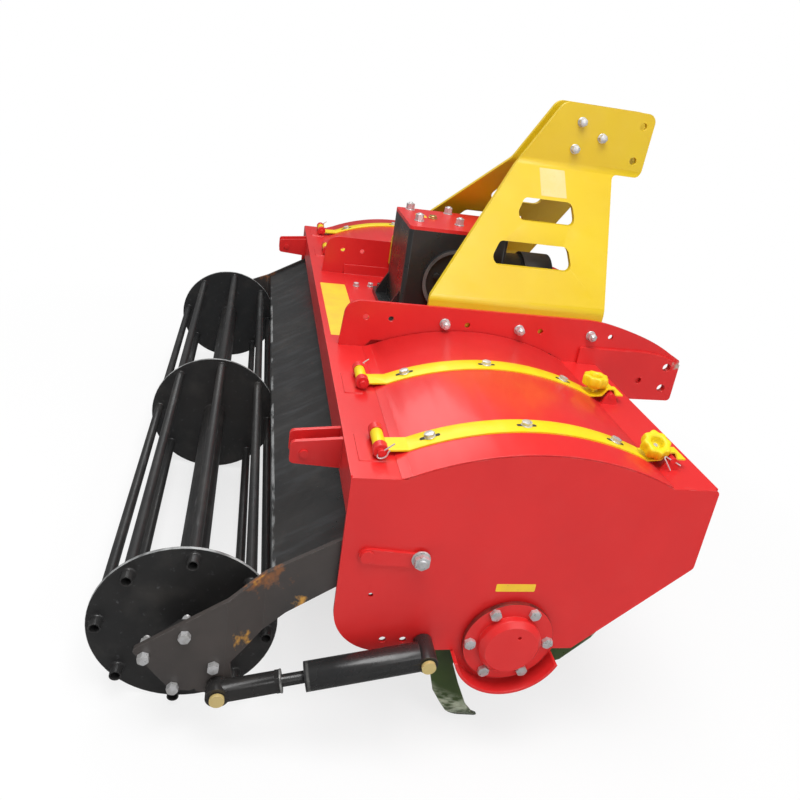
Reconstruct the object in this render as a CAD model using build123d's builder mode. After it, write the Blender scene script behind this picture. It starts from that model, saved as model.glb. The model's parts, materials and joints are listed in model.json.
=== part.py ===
from build123d import *
import os
from math import asin, atan2, cos, degrees, hypot, radians, sin

os.makedirs("parts", exist_ok=True)

# A mounted rotary tiller with a rear crumbler roller, drawn level in millimetres:
# X runs across the machine, +Y to its rear, and Z up from the roller's lowest line.
# Every finished piece is then set down in its parked stance, nose up on blade tips and roller.

# ---- Hood, side plates and box beams ----
machine_width = 2400.0
side_plate = 10.0
sheet = 6.0
deck_z = 687.0
rear_y = 154.0
rear_seam_y = 31.0
front_seam_y = -615.0
front_y = -737.0
arch_rise = 73.0
bottom_z = 209.0
front_corner_z = 460.0
front_heel_y = -466.0
heel_radius = 125.0
box_depth = 95.0
box_lip = 34.0
apron_lean = 60.0

# ---- Rotor ----
rotor_y = -284.0
rotor_z = 248.0
blade_reach = 330.0
blade_width = 46.0
blade_thickness = 8.0
blade_tip_width = 58.0
blade_tip_offset = 40.0
blades_per_flange = 6
flanges_per_side = 5
flange_step = 12.0
flange_radius = 118.0
flange_thickness = 12.0
rotor_tube_radius = 44.5
rotor_shaft_radius = 30.0
rotor_side_gap = 16.0
shaft_clearance = 0.5

# ---- Hub caps and guards ----
hub_radius = 115.0
hub_flange = 12.0
hub_stand_off = 6.0
hub_boss_radius = 79.0
hub_boss_rise = 28.0
hub_grease_hole = 10.0
guard_radius = 143.0
guard_width = 45.0
guard_sheet = 8.0
guard_start = -158.0
guard_end = -17.5

# ---- Headstock: hitch beams, hitch plates and mast ----
beam_outside = 412.5
beam_plate = 12.0
beam_top_z = 834.0
beam_rear_y = 118.0
beam_corner = 48.0
beam_notch_z = 711.0
beam_holes = (42.0, -36.0, -281.0, -526.0, -773.0)
beam_hole_z = 783.0
beam_hole = 18.0
nose_y = -1046.0
nose_bottom_z = 575.0
nose_heel_y = -883.0
hitch_plate = 12.0
hitch_hole = 29.0
hitch_hole_y = -998.0
upper_hitch_z = 695.5
lower_hitch_z = 619.0
mast_plate = 16.0
mast_gap = 52.0
mast_top_z = 1473.0
mast_tab_height = 207.0
mast_foot_z = 861.0
mast_hem_z = 748.0
top_link_hole = 25.7
upper_link_y = -889.0
upper_link_drop = 44.0
lower_link_y = -881.0
lower_link_drop = 161.0
mast_spacer_radius = 16.0
mast_spacer_places = ((-664.0, 58.0), (-748.0, 101.0), (-658.0, 148.0))
mast_window_drops = (315.0, 444.0)
mast_window_height = 68.0
mast_window_corner = 21.0
# Each window's ends in Y: rear and front at its top, then front and rear at its foot.
mast_window_ends = ((-482.0, -652.0, -656.0, -440.0), (-388.0, -624.0, -631.0, -343.0))

# ---- Gearbox, drive leg and input shaft ----
gearcase_half = 155.0
gearcase_rear_y = -106.0
gearcase_front_y = -452.0
gearcase_top_z = 1012.0
gearcase_lid_height = 12.0
gearcase_foot = 18.0
gearcase_foot_lip = 44.0
cross_shaft_z = 847.0
bearing_cover_radius = 113.0
bearing_cover_depth = 14.0
leg_half = 55.0
leg_radius = 118.0
leg_boss_radius = 76.0
leg_boss = 22.0
leg_top_front_y = -372.0
leg_top_rear_y = -196.0
input_radius = 84.0
input_length = 118.0
pto_guard_radius = 94.0
pto_guard_length = 92.0
pto_guard_wall = 4.0
pto_diameter = 34.9
pto_length = 96.0
pto_spline_count = 6

# ---- Roller and its swinging frame ----
roller_y = 492.0
roller_radius = 219.0
roller_disc_inset = 82.0
roller_disc = 8.0
roller_tube_radius = 14.0
roller_tube_wall = 3.0
roller_tube_count = 8
roller_tube_circle = 0.885 * roller_radius
roller_tube_overhang = 30.0
roller_axle_radius = 38.0
roller_stub_radius = 20.0
roller_stub_gap = 3.0
arm_pivot_y = 96.0
arm_pivot_z = 489.0
arm_plate = 12.0
arm_half_width = 52.0
arm_rear_stand_off = 26.0
arm_side_gap = 5.0
arm_strip_front = 20.0
arm_joggle_front = 312.0
arm_joggle_rear = 392.0
arm_strip_rear = 640.0
arm_strip_low = 40.0
arm_knee_y = 300.0
arm_knee_z = 365.0
pivot_pin_radius = 16.0
bearing_square = 107.0
bearing_length = 44.0
board_lip_y = 295.0
board_lip_z = 416.0
board_front_y = 128.0
board_front_z = 512.0
board_lip_drop = 36.0

# ---- Adjusting links ----
link_front_y = -70.0
link_front_z = 240.0
link_rear_y = 403.0
link_rear_z = 142.0
link_stand_off = 50.0
link_barrel_radius = 34.0
link_barrel_end = 285.0
link_body_start = 352.0
link_thread_radius = 14.0
link_body_radius = 25.0
link_bush_radius = 24.0
link_pin_radius = 12.0
link_eye_width = 38.0
link_eye_radius = 27.0
link_eye_play = 2.2
link_thread_play = 0.6
link_thread_start = 96.0
link_bore_start = 48.0
link_bush_gap = 4.0

# ---- Hinged covers with their straps ----
cover_sheet = 4.0
cover_seat = 0.5
cover_beam_gap = 6.0
cover_end_gap = 3.0
strap_insets = (134.0, 506.0)
strap_width = 62.0
strap_sheet = 4.0
strap_rear_y = 12.0
strap_kink_y = -591.0
strap_lip_y = -692.0
hinge_y = 82.0
hinge_rise = 24.0
hinge_tube_radius = 15.0
hinge_pin_radius = 9.0
catch_y = -651.0
catch_rise = 26.0
catch_pin_radius = 8.0
hump_radius = 15.0
flat_drop = 6.5
lip_drop = 3.0
lug_plate = 8.0
lug_side_gap = 1.5
# Each lug's half width at its foot and at its top, and how far the top stands over the pin.
hinge_lug = (15.0, 10.0, 14.0)
catch_lug = (26.0, 11.0, 4.0)

# ---- Star knobs ----
knob_y = -609.0
knob_leans = (27.0, 0.0)
knob_radius = 38.0
knob_height = 48.0
knob_foot = 7.0
knob_neck = 15.0
knob_neck_radius = 13.0
knob_stud_radius = 6.0
knob_hollow = 20.0
knob_lobes = 8

# ---- Small fittings ----
clevis_inset = 222.0
clevis_gap = 44.0
clevis_plate = 12.0
clevis_hole_y = 243.0
clevis_hole_z = 636.0
clevis_pin_radius = 10.0
clevis_end_y = 276.0
keeper_front_y = -28.0
keeper_front_z = 477.0
keeper_half_height = 19.0
keeper_plate = 8.0
pin_clearance = 0.3

# ---- Worked out from the sizes above ----
half_width = machine_width / 2
inner_x = half_width - side_plate
roller_disc_x = half_width - roller_disc_inset
arm_rear_outside = half_width + arm_rear_stand_off
link_x = half_width + link_stand_off
strap_places = tuple(half_width - inset for inset in strap_insets)
hinge_z = deck_z + hinge_rise
catch_z = deck_z + catch_rise
clevis_x = half_width - clevis_inset
roller_z = roller_radius
mast_bend_z = mast_top_z - mast_tab_height
arch_mid_y = (rear_seam_y + front_seam_y) / 2
rotor_end_x = inner_x - rotor_side_gap - blade_thickness - flange_thickness / 2
rotor_start_x = leg_half + leg_boss + 30.0
hub_face_x = half_width + hub_stand_off + hub_flange
arm_front_outside = inner_x - arm_side_gap
link_dy = link_rear_y - link_front_y
link_dz = link_rear_z - link_front_z
link_length = hypot(link_dy, link_dz)

# The parked stance: the one floor that touches the blade tips and the roller's discs.
span_y = roller_y - rotor_y
span_z = roller_z - rotor_z
stance = -asin((blade_reach - roller_radius) / hypot(span_y, span_z)) - atan2(span_z, span_y)
front_reach = nose_y * cos(stance) - nose_bottom_z * sin(stance)
rear_reach = roller_y * cos(stance) - roller_z * sin(stance) + roller_radius
floor_drop = roller_radius - (roller_y * sin(stance) + roller_z * cos(stance))
parked = Location((0, -(front_reach + rear_reach) / 2, floor_drop), (degrees(stance), 0, 0))

finished = []


def side_plane(x):
    """A plane across the machine: its own axes are the machine's Y and Z."""
    return Plane.YZ.offset(x)


def keep(builder, name):
    """Label a finished piece and set it aside for writing."""
    builder.part.label = name
    finished.append(builder.part)


def arch_point(y, rise=0.0):
    """The point of the hood's arch at one place along the machine."""
    chord = rear_seam_y - front_seam_y
    radius = (chord * chord / 4 + arch_rise * arch_rise) / (2 * arch_rise)
    centre_z = deck_z + arch_rise - radius
    across = y - arch_mid_y
    return (y, centre_z + (radius * radius - across * across) ** 0.5 + rise)


def strap_lugs(pin_y, pin_z, pin_radius, foot, top, rise):
    """The welded lugs and the pin that hold one end of every cover strap."""
    lug_x = strap_width / 2 + lug_side_gap
    for strap_x in (-strap_places[0], -strap_places[1], strap_places[1], strap_places[0]):
        with BuildPart() as holder:
            for start in (strap_x - lug_x - lug_plate, strap_x + lug_x):
                with BuildSketch(side_plane(start)):
                    with BuildLine():
                        Polyline(
                            (pin_y - foot, deck_z),
                            (pin_y + foot, deck_z),
                            (pin_y + top, pin_z + rise),
                            (pin_y - top, pin_z + rise),
                            close=True,
                        )
                    make_face()
                extrude(amount=lug_plate)
            with BuildSketch(side_plane(strap_x - lug_x - lug_plate - 4)):
                with Locations((pin_y, pin_z)):
                    Circle(pin_radius)
            extrude(amount=2 * (lug_x + lug_plate + 4))
        yield holder.part


# ---- Side plates, with a round lobe that carries the rotor bearing ----
with BuildPart() as side_plate_right:
    with BuildSketch(side_plane(-half_width)):
        with BuildLine():
            FilletPolyline(
                (front_seam_y, deck_z),
                (front_y, deck_z),
                (front_y, front_corner_z),
                (front_heel_y, bottom_z),
                (rear_y, bottom_z),
                (rear_y, deck_z),
                (rear_seam_y, deck_z),
                radius=(12.0, 16.0, 8.0, heel_radius, 6.0),
            )
            ThreePointArc(
                (rear_seam_y, deck_z),
                arch_point(arch_mid_y),
                (front_seam_y, deck_z),
            )
        make_face()
        with Locations((rotor_y, rotor_z)):
            Circle(guard_radius - guard_sheet)
            Circle(rotor_shaft_radius + shaft_clearance, mode=Mode.SUBTRACT)
        with Locations((arm_pivot_y, arm_pivot_z)):
            Circle(pivot_pin_radius + pin_clearance, mode=Mode.SUBTRACT)
        with Locations((link_front_y, link_front_z)):
            Circle(link_pin_radius + pin_clearance, mode=Mode.SUBTRACT)
        with Locations((arm_pivot_y - 23, arm_pivot_z - 113)):
            Circle(6.0, mode=Mode.SUBTRACT)
        with Locations((link_front_y + 48, bottom_z + 33), (link_front_y + 98, bottom_z + 34)):
            Circle(9.0, mode=Mode.SUBTRACT)
    extrude(amount=side_plate)
keep(side_plate_right, "side_plate_right")

with BuildPart() as side_plate_left:
    mirror(side_plate_right.part, about=Plane.YZ)
keep(side_plate_left, "side_plate_left")

# ---- Hub caps: a bolted flange on a spacer, with a domed boss and a bearing recess ----
with BuildPart() as hub_cap_right:
    with BuildSketch(side_plane(-half_width)):
        with Locations((rotor_y, rotor_z)):
            Circle(hub_radius - 16)
    extrude(amount=-hub_stand_off)
    with BuildSketch(side_plane(-half_width - hub_stand_off)):
        with Locations((rotor_y, rotor_z)):
            Circle(hub_radius)
    extrude(amount=-hub_flange)
    with BuildSketch(side_plane(-hub_face_x)):
        with Locations((rotor_y, rotor_z)):
            Circle(hub_boss_radius)
    extrude(amount=-hub_boss_rise)
    boss_rim = edges().filter_by(GeomType.CIRCLE).sort_by(Axis.X)[0]
    chamfer(boss_rim, length=hub_boss_rise * 0.45)
    with BuildSketch(side_plane(-half_width)):
        with Locations((rotor_y, rotor_z)):
            Circle(rotor_shaft_radius + shaft_clearance)
    extrude(amount=-hub_stand_off - hub_flange - hub_boss_rise * 0.5, mode=Mode.SUBTRACT)
    with BuildSketch(side_plane(-hub_face_x - hub_boss_rise)):
        with Locations((rotor_y - 14, rotor_z + 36)):
            Circle(hub_grease_hole / 2)
    extrude(amount=8.0, mode=Mode.SUBTRACT)
keep(hub_cap_right, "hub_cap_right")

with BuildPart() as hub_cap_left:
    mirror(hub_cap_right.part, about=Plane.YZ)
keep(hub_cap_left, "hub_cap_left")

# ---- Hub guards: a rolled strip that skids under each hub cap ----
with BuildPart() as hub_guard_right:
    with BuildSketch(side_plane(-half_width - guard_width)):
        with BuildLine():
            CenterArc((rotor_y, rotor_z), guard_radius, guard_start, guard_end - guard_start)
            CenterArc(
                (rotor_y, rotor_z),
                guard_radius - guard_sheet,
                guard_start,
                guard_end - guard_start,
            )
            for angle in (guard_start, guard_end):
                Line(
                    PolarLine((rotor_y, rotor_z), guard_radius - guard_sheet, angle, mode=Mode.PRIVATE) @ 1,
                    PolarLine((rotor_y, rotor_z), guard_radius, angle, mode=Mode.PRIVATE) @ 1,
                )
        make_face()
    extrude(amount=guard_width + side_plate)
keep(hub_guard_right, "hub_guard_right")

with BuildPart() as hub_guard_left:
    mirror(hub_guard_right.part, about=Plane.YZ)
keep(hub_guard_left, "hub_guard_left")

# ---- Box beams: folded channels that span the side plates ----
with BuildPart() as rear_beam:
    with BuildSketch(side_plane(-inner_x)):
        with BuildLine():
            Polyline(
                (rear_seam_y, deck_z - box_lip),
                (rear_seam_y, deck_z),
                (rear_y, deck_z),
                (rear_y, deck_z - box_depth),
                (rear_y - box_lip, deck_z - box_depth),
            )
            offset(amount=-sheet, side=Side.RIGHT)
        make_face()
    extrude(amount=2 * inner_x)
    add(strap_lugs(hinge_y, hinge_z, hinge_pin_radius, *hinge_lug))
keep(rear_beam, "rear_beam")

with BuildPart() as front_beam:
    with BuildSketch(side_plane(-inner_x)):
        with BuildLine():
            Polyline(
                (front_seam_y, deck_z - box_lip),
                (front_seam_y, deck_z),
                (front_y, deck_z),
                (front_y, deck_z - box_depth),
                (front_y + box_lip, deck_z - box_depth),
            )
            offset(amount=-sheet, side=Side.LEFT)
        make_face()
    extrude(amount=2 * inner_x)
    add(strap_lugs(catch_y, catch_z, catch_pin_radius, *catch_lug))
keep(front_beam, "front_beam")

# ---- Front apron: the sheet under the front beam that turns back over the blades ----
with BuildPart() as front_apron:
    with BuildSketch(side_plane(-inner_x)):
        with BuildLine():
            Polyline(
                (front_y, deck_z - box_depth),
                (front_y, front_corner_z + 8),
                (front_y + apron_lean, front_corner_z + 8 - apron_lean),
            )
            offset(amount=-sheet, side=Side.LEFT)
        make_face()
    extrude(amount=2 * inner_x)
keep(front_apron, "front_apron")

# ---- Centre deck: the fixed panel between the hitch beams, cut out for the drive leg ----
with BuildPart() as centre_deck:
    with BuildSketch(Plane.XY.offset(deck_z - sheet)):
        with Locations((0, arch_mid_y)):
            Rectangle(2 * (beam_outside - beam_plate), rear_seam_y - front_seam_y)
        with Locations((0, (leg_top_front_y + leg_top_rear_y) / 2)):
            Rectangle(2 * leg_half + 2, leg_top_rear_y - leg_top_front_y + 2, mode=Mode.SUBTRACT)
    extrude(amount=sheet)
    with BuildSketch(Plane.XZ.offset(-rear_seam_y)):
        for side in (-1, 1):
            with Locations((side * (beam_outside - beam_plate - sheet / 2), (deck_z + beam_notch_z) / 2)):
                Rectangle(sheet, beam_notch_z - deck_z + 30)
    extrude(amount=rear_seam_y - front_seam_y)
keep(centre_deck, "centre_deck")

# ---- Hitch beams: long upright plates that run from the rear beam to the hitch nose ----
with BuildPart() as hitch_beam_right:
    with BuildSketch(side_plane(-beam_outside)):
        with BuildLine():
            nose_top = Spline(
                (-668.0, beam_top_z),
                (-820.0, beam_top_z - 23),
                (-1010.0, beam_top_z - 96),
                tangents=((-1, 0), (-1, -0.6)),
            )
            FilletPolyline(
                nose_top @ 1,
                (nose_y, upper_hitch_z + 24),
                (nose_y + 4, nose_bottom_z),
                (front_y - 4, nose_bottom_z - 3),
                (front_y - 0.3, deck_z + 0.3),
                (front_seam_y, deck_z + 0.3),
                (front_seam_y + 42, beam_notch_z),
                (rear_seam_y - 12, beam_notch_z),
                (rear_seam_y + 4, deck_z + 0.3),
                (beam_rear_y, deck_z + 0.3),
                (beam_rear_y - 12, beam_top_z),
                nose_top @ 0,
                radius=(10.0, 14.0, 0.0, 0.0, 0.0, 14.0, 8.0, 0.0, 0.0, beam_corner),
            )
        make_face()
        with Locations(*((hole_y, beam_hole_z) for hole_y in beam_holes)):
            Circle(beam_hole / 2, mode=Mode.SUBTRACT)
        for hole_z in (upper_hitch_z, lower_hitch_z):
            with Locations((hitch_hole_y, hole_z)):
                Circle(hitch_hole / 2, mode=Mode.SUBTRACT)
    extrude(amount=beam_plate)
keep(hitch_beam_right, "hitch_beam_right")

with BuildPart() as hitch_beam_left:
    mirror(hitch_beam_right.part, about=Plane.YZ)
keep(hitch_beam_left, "hitch_beam_left")

# ---- Hitch plates: the doublers on the hitch beams that carry the lower hitch pins ----
with BuildPart() as hitch_plate_right:
    with BuildSketch(side_plane(-beam_outside - hitch_plate)):
        with BuildLine():
            plate_top = Spline(
                (-690.0, nose_bottom_z + 168),
                (-830.0, nose_bottom_z + 168),
                (-930.0, nose_bottom_z + 166),
                (nose_y + 4, upper_hitch_z + 14),
                tangents=((-1, 0), (-1, -0.6)),
            )
            FilletPolyline(
                plate_top @ 1,
                (nose_y + 4, nose_bottom_z),
                (nose_heel_y, nose_bottom_z - 3),
                (front_y - 0.3, nose_bottom_z + 60),
                (front_y - 0.3, deck_z + 0.3),
                (-671.0, deck_z + 0.3),
                (-671.0, nose_bottom_z + 168),
                plate_top @ 0,
                radius=(14.0, 10.0, 10.0, 0.0, 0.0, 8.0),
            )
        make_face()
        for hole_z in (upper_hitch_z, lower_hitch_z):
            with Locations((hitch_hole_y, hole_z)):
                Circle(hitch_hole / 2, mode=Mode.SUBTRACT)
        with Locations((nose_heel_y - 23, (upper_hitch_z + lower_hitch_z) / 2 - 15)):
            Circle(11.0, mode=Mode.SUBTRACT)
    extrude(amount=hitch_plate)
keep(hitch_plate_right, "hitch_plate_right")

with BuildPart() as hitch_plate_left:
    mirror(hitch_plate_right.part, about=Plane.YZ)
keep(hitch_plate_left, "hitch_plate_left")

# ---- Mast: two plates bent in from the hitch beams to the top link tabs ----
mast_tab_x = mast_gap / 2 + mast_plate
mast_foot_x = beam_outside - beam_plate - 0.3
with BuildPart() as mast_right:
    with BuildSketch(Plane.XZ.offset(100.0)):
        with BuildLine():
            FilletPolyline(
                (-mast_tab_x, mast_top_z + 10),
                (-mast_tab_x, mast_bend_z),
                (-mast_foot_x, mast_foot_z),
                (-mast_foot_x, mast_hem_z),
                radius=(34.0, 34.0),
            )
            offset(amount=mast_plate, side=Side.LEFT)
        make_face()
    extrude(amount=860.0)
    with BuildSketch(side_plane(-mast_foot_x - 5)):
        with BuildLine():
            FilletPolyline(
                (-148.0, mast_hem_z - 2),
                (-148.0, mast_foot_z),
                (-467.0, mast_bend_z),
                (-592.0, mast_top_z),
                (-930.0, mast_top_z),
                (-922.0, mast_bend_z - 8),
                (-812.0, mast_bend_z - 8),
                (-735.0, mast_foot_z),
                (-733.0, mast_hem_z - 2),
                close=True,
                radius=(0.0, 30.0, 60.0, 40.0, 30.0, 28.0, 22.0, 20.0, 0.0),
            )
        make_face()
        for drop, (rear_top, front_top, front_low, rear_low) in zip(mast_window_drops, mast_window_ends):
            window_z = mast_top_z - drop
            with BuildLine():
                FilletPolyline(
                    (rear_top, window_z),
                    (front_top, window_z),
                    (front_low, window_z - mast_window_height),
                    (rear_low, window_z - mast_window_height),
                    close=True,
                    radius=mast_window_corner,
                )
            make_face(mode=Mode.SUBTRACT)
        for hole_y, drop in ((upper_link_y, upper_link_drop), (lower_link_y, lower_link_drop)):
            with Locations((hole_y, mast_top_z - drop)):
                Circle(top_link_hole / 2, mode=Mode.SUBTRACT)
    extrude(amount=mast_foot_x + 5, mode=Mode.INTERSECT)
keep(mast_right, "mast_right")

with BuildPart() as mast_left:
    mirror(mast_right.part, about=Plane.YZ)
keep(mast_left, "mast_left")

with BuildPart() as mast_spacers:
    with BuildSketch(side_plane(-mast_gap / 2)):
        with Locations(*((spacer_y, mast_top_z - drop) for spacer_y, drop in mast_spacer_places)):
            Circle(mast_spacer_radius)
    extrude(amount=mast_gap)
keep(mast_spacers, "mast_spacers")

# ---- Gearbox: a box case on a bolted foot, with two rear gussets ----
gearcase_y = (gearcase_rear_y + gearcase_front_y) / 2
gearcase_depth = gearcase_rear_y - gearcase_front_y
with BuildPart() as gearcase:
    with BuildSketch(Plane.XY.offset(deck_z)):
        with Locations((0, gearcase_y)):
            RectangleRounded(
                2 * (gearcase_half + gearcase_foot_lip),
                gearcase_depth + 2 * gearcase_foot_lip,
                20.0,
            )
    extrude(amount=gearcase_foot)
    with BuildSketch(Plane.XY.offset(deck_z + gearcase_foot)):
        with Locations((0, gearcase_y)):
            RectangleRounded(2 * gearcase_half, gearcase_depth, 14.0)
    extrude(amount=gearcase_top_z - deck_z - gearcase_foot)
    for gusset_x in (-gearcase_half + 28, gearcase_half - 40):
        with BuildSketch(side_plane(gusset_x)):
            with BuildLine():
                Polyline(
                    (gearcase_rear_y - 2, deck_z + gearcase_foot),
                    (gearcase_rear_y + gearcase_foot_lip - 4, deck_z + gearcase_foot),
                    (gearcase_rear_y + gearcase_foot_lip - 4, deck_z + gearcase_foot + 12),
                    (gearcase_rear_y - 2, deck_z + gearcase_foot + 88),
                    close=True,
                )
            make_face()
        extrude(amount=12.0)
keep(gearcase, "gearcase")

with BuildPart() as gearcase_lid:
    with BuildSketch(Plane.XY.offset(gearcase_top_z)):
        with Locations((0, gearcase_y)):
            RectangleRounded(2 * gearcase_half, gearcase_depth, 14.0)
    extrude(amount=gearcase_lid_height)
keep(gearcase_lid, "gearcase_lid")

# ---- Bearing covers: the ribbed round covers of the cross shaft, one on each side ----
with BuildPart() as bearing_covers:
    with BuildSketch(Plane.XY.offset(cross_shaft_z)):
        with BuildLine():
            Polyline(
                (-gearcase_half, rotor_y),
                (-gearcase_half - bearing_cover_depth * 0.7, rotor_y),
                (-gearcase_half - bearing_cover_depth * 0.7, rotor_y + bearing_cover_radius * 0.36),
                (-gearcase_half - bearing_cover_depth * 0.35, rotor_y + bearing_cover_radius * 0.42),
                (-gearcase_half - bearing_cover_depth * 0.35, rotor_y + bearing_cover_radius * 0.88),
                (-gearcase_half - bearing_cover_depth, rotor_y + bearing_cover_radius * 0.9),
                (-gearcase_half - bearing_cover_depth, rotor_y + bearing_cover_radius),
                (-gearcase_half, rotor_y + bearing_cover_radius),
                close=True,
            )
        make_face()
    revolve(axis=Axis((0, rotor_y, cross_shaft_z), (1, 0, 0)))
    mirror(about=Plane.YZ)
keep(bearing_covers, "bearing_covers")

# ---- Drive leg: the narrow gear case between the two rotor halves ----
with BuildPart() as drive_leg:
    with BuildSketch(side_plane(-leg_half)):
        with BuildLine():
            leg_arc = CenterArc((rotor_y, rotor_z), leg_radius, 172.0, 196.0)
            Polyline(
                leg_arc @ 1,
                (leg_top_rear_y - 0.3, deck_z),
                (leg_top_front_y + 0.3, deck_z),
                leg_arc @ 0,
            )
        make_face()
    extrude(amount=2 * leg_half)
    with BuildSketch(side_plane(-leg_half - leg_boss)):
        with Locations((rotor_y, rotor_z)):
            Circle(leg_boss_radius)
    extrude(amount=2 * (leg_half + leg_boss))
    with BuildSketch(side_plane(-leg_half - leg_boss)):
        with Locations((rotor_y, rotor_z)):
            Circle(rotor_shaft_radius + shaft_clearance)
    extrude(amount=2 * (leg_half + leg_boss), mode=Mode.SUBTRACT)
keep(drive_leg, "drive_leg")

# ---- Input housing, its guard cup and the splined input shaft ----
housing_end_y = gearcase_front_y - input_length
with BuildPart() as input_housing:
    with BuildSketch(Plane.XZ.offset(-gearcase_front_y)):
        with Locations((0, cross_shaft_z)):
            Circle(input_radius + 18)
    extrude(amount=16.0)
    with BuildSketch(Plane.XZ.offset(-gearcase_front_y)):
        with Locations((0, cross_shaft_z)):
            Circle(input_radius)
    extrude(amount=input_length)
    with BuildSketch(Plane.XZ.offset(-housing_end_y)):
        with Locations((0, cross_shaft_z)):
            Circle(pto_diameter / 2 + 1.0)
    extrude(amount=-40.0, mode=Mode.SUBTRACT)
keep(input_housing, "input_housing")

with BuildPart() as pto_guard:
    with BuildSketch(Plane.XZ.offset(-housing_end_y - 14)):
        with Locations((0, cross_shaft_z)):
            Circle(pto_guard_radius)
            Circle(input_radius, mode=Mode.SUBTRACT)
    extrude(amount=pto_guard_wall)
    with BuildSketch(Plane.XZ.offset(-housing_end_y - 14)):
        with Locations((0, cross_shaft_z)):
            Circle(pto_guard_radius)
            Circle(pto_guard_radius - pto_guard_wall, mode=Mode.SUBTRACT)
    extrude(amount=pto_guard_length + 14)
keep(pto_guard, "pto_guard")

with BuildPart() as pto_shaft:
    with BuildSketch(Plane.XZ.offset(-housing_end_y - 34)):
        with Locations((0, cross_shaft_z)):
            Circle(pto_diameter / 2)
    extrude(amount=34.0 + pto_length)
    with BuildSketch(Plane.XZ.offset(-housing_end_y + 22)):
        with Locations((0, cross_shaft_z)):
            with PolarLocations(pto_diameter / 2, pto_spline_count):
                Rectangle(4.6, 8.6)
    extrude(amount=pto_length, mode=Mode.SUBTRACT)
keep(pto_shaft, "pto_shaft")

# ---- Rotor: tube, flanges and curved blades whose tips turn in or out ----
# An end flange has every other blade only, and there all tips turn away from the plate beside it.
# Blade line, tip down: how far ahead of the tip, how far below the axis, share of the side bend,
# and the lean of that cut across the blade, in degrees from level.
blade_line = (
    (92.0, -24.0, 0.0, -70.0),
    (124.0, 40.0, 0.0, -80.0),
    (133.0, 120.0, 0.0, -88.0),
    (98.0, 200.0, 0.0, -112.0),
    (62.0, 256.0, 0.0, -90.0),
    (34.0, 292.0, 0.3, -90.0),
    (0.0, blade_reach, 1.0, -90.0),
)


def blade(bend):
    """One blade about the X axis, its flat tip lowest, its tip set over by bend."""
    with BuildPart() as made:
        for ahead, down, share, lean in blade_line:
            along = (0, cos(radians(lean)), sin(radians(lean)))
            width = blade_width + (blade_tip_width - blade_width) * share
            with BuildSketch(Plane((bend * share, ahead, -down), x_dir=(1, 0, 0), z_dir=along)):
                Rectangle(blade_thickness, width)
        loft(ruled=True)
    return made.part


flange_pitch = (rotor_end_x - rotor_start_x) / (flanges_per_side - 1)
with BuildPart() as rotor_right:
    with BuildSketch(side_plane(-rotor_end_x - flange_thickness / 2)):
        with Locations((rotor_y, rotor_z)):
            Circle(rotor_tube_radius)
    extrude(amount=rotor_end_x - rotor_start_x + flange_thickness)
    with BuildSketch(side_plane(-half_width - hub_stand_off)):
        with Locations((rotor_y, rotor_z)):
            Circle(rotor_shaft_radius)
    extrude(amount=half_width + hub_stand_off)
    for row in range(flanges_per_side):
        flange_x = -rotor_end_x + row * flange_pitch
        with BuildSketch(side_plane(flange_x - flange_thickness / 2)):
            with Locations((rotor_y, rotor_z)):
                Circle(flange_radius)
        extrude(amount=flange_thickness)
        end_row = row in (0, flanges_per_side - 1)
        for place in range(0, blades_per_flange, 2 if end_row else 1):
            side = -1 if place % 2 == 0 else 1
            bend = blade_tip_offset if row == 0 else side * blade_tip_offset
            turn = -degrees(stance) + row * flange_step + place * 360.0 / blades_per_flange
            blade_x = flange_x + side * (flange_thickness + blade_thickness) / 2
            add(Location((blade_x, rotor_y, rotor_z), (turn, 0, 0)) * blade(bend))
keep(rotor_right, "rotor_right")

with BuildPart() as rotor_left:
    mirror(rotor_right.part, about=Plane.YZ)
keep(rotor_left, "rotor_left")

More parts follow.
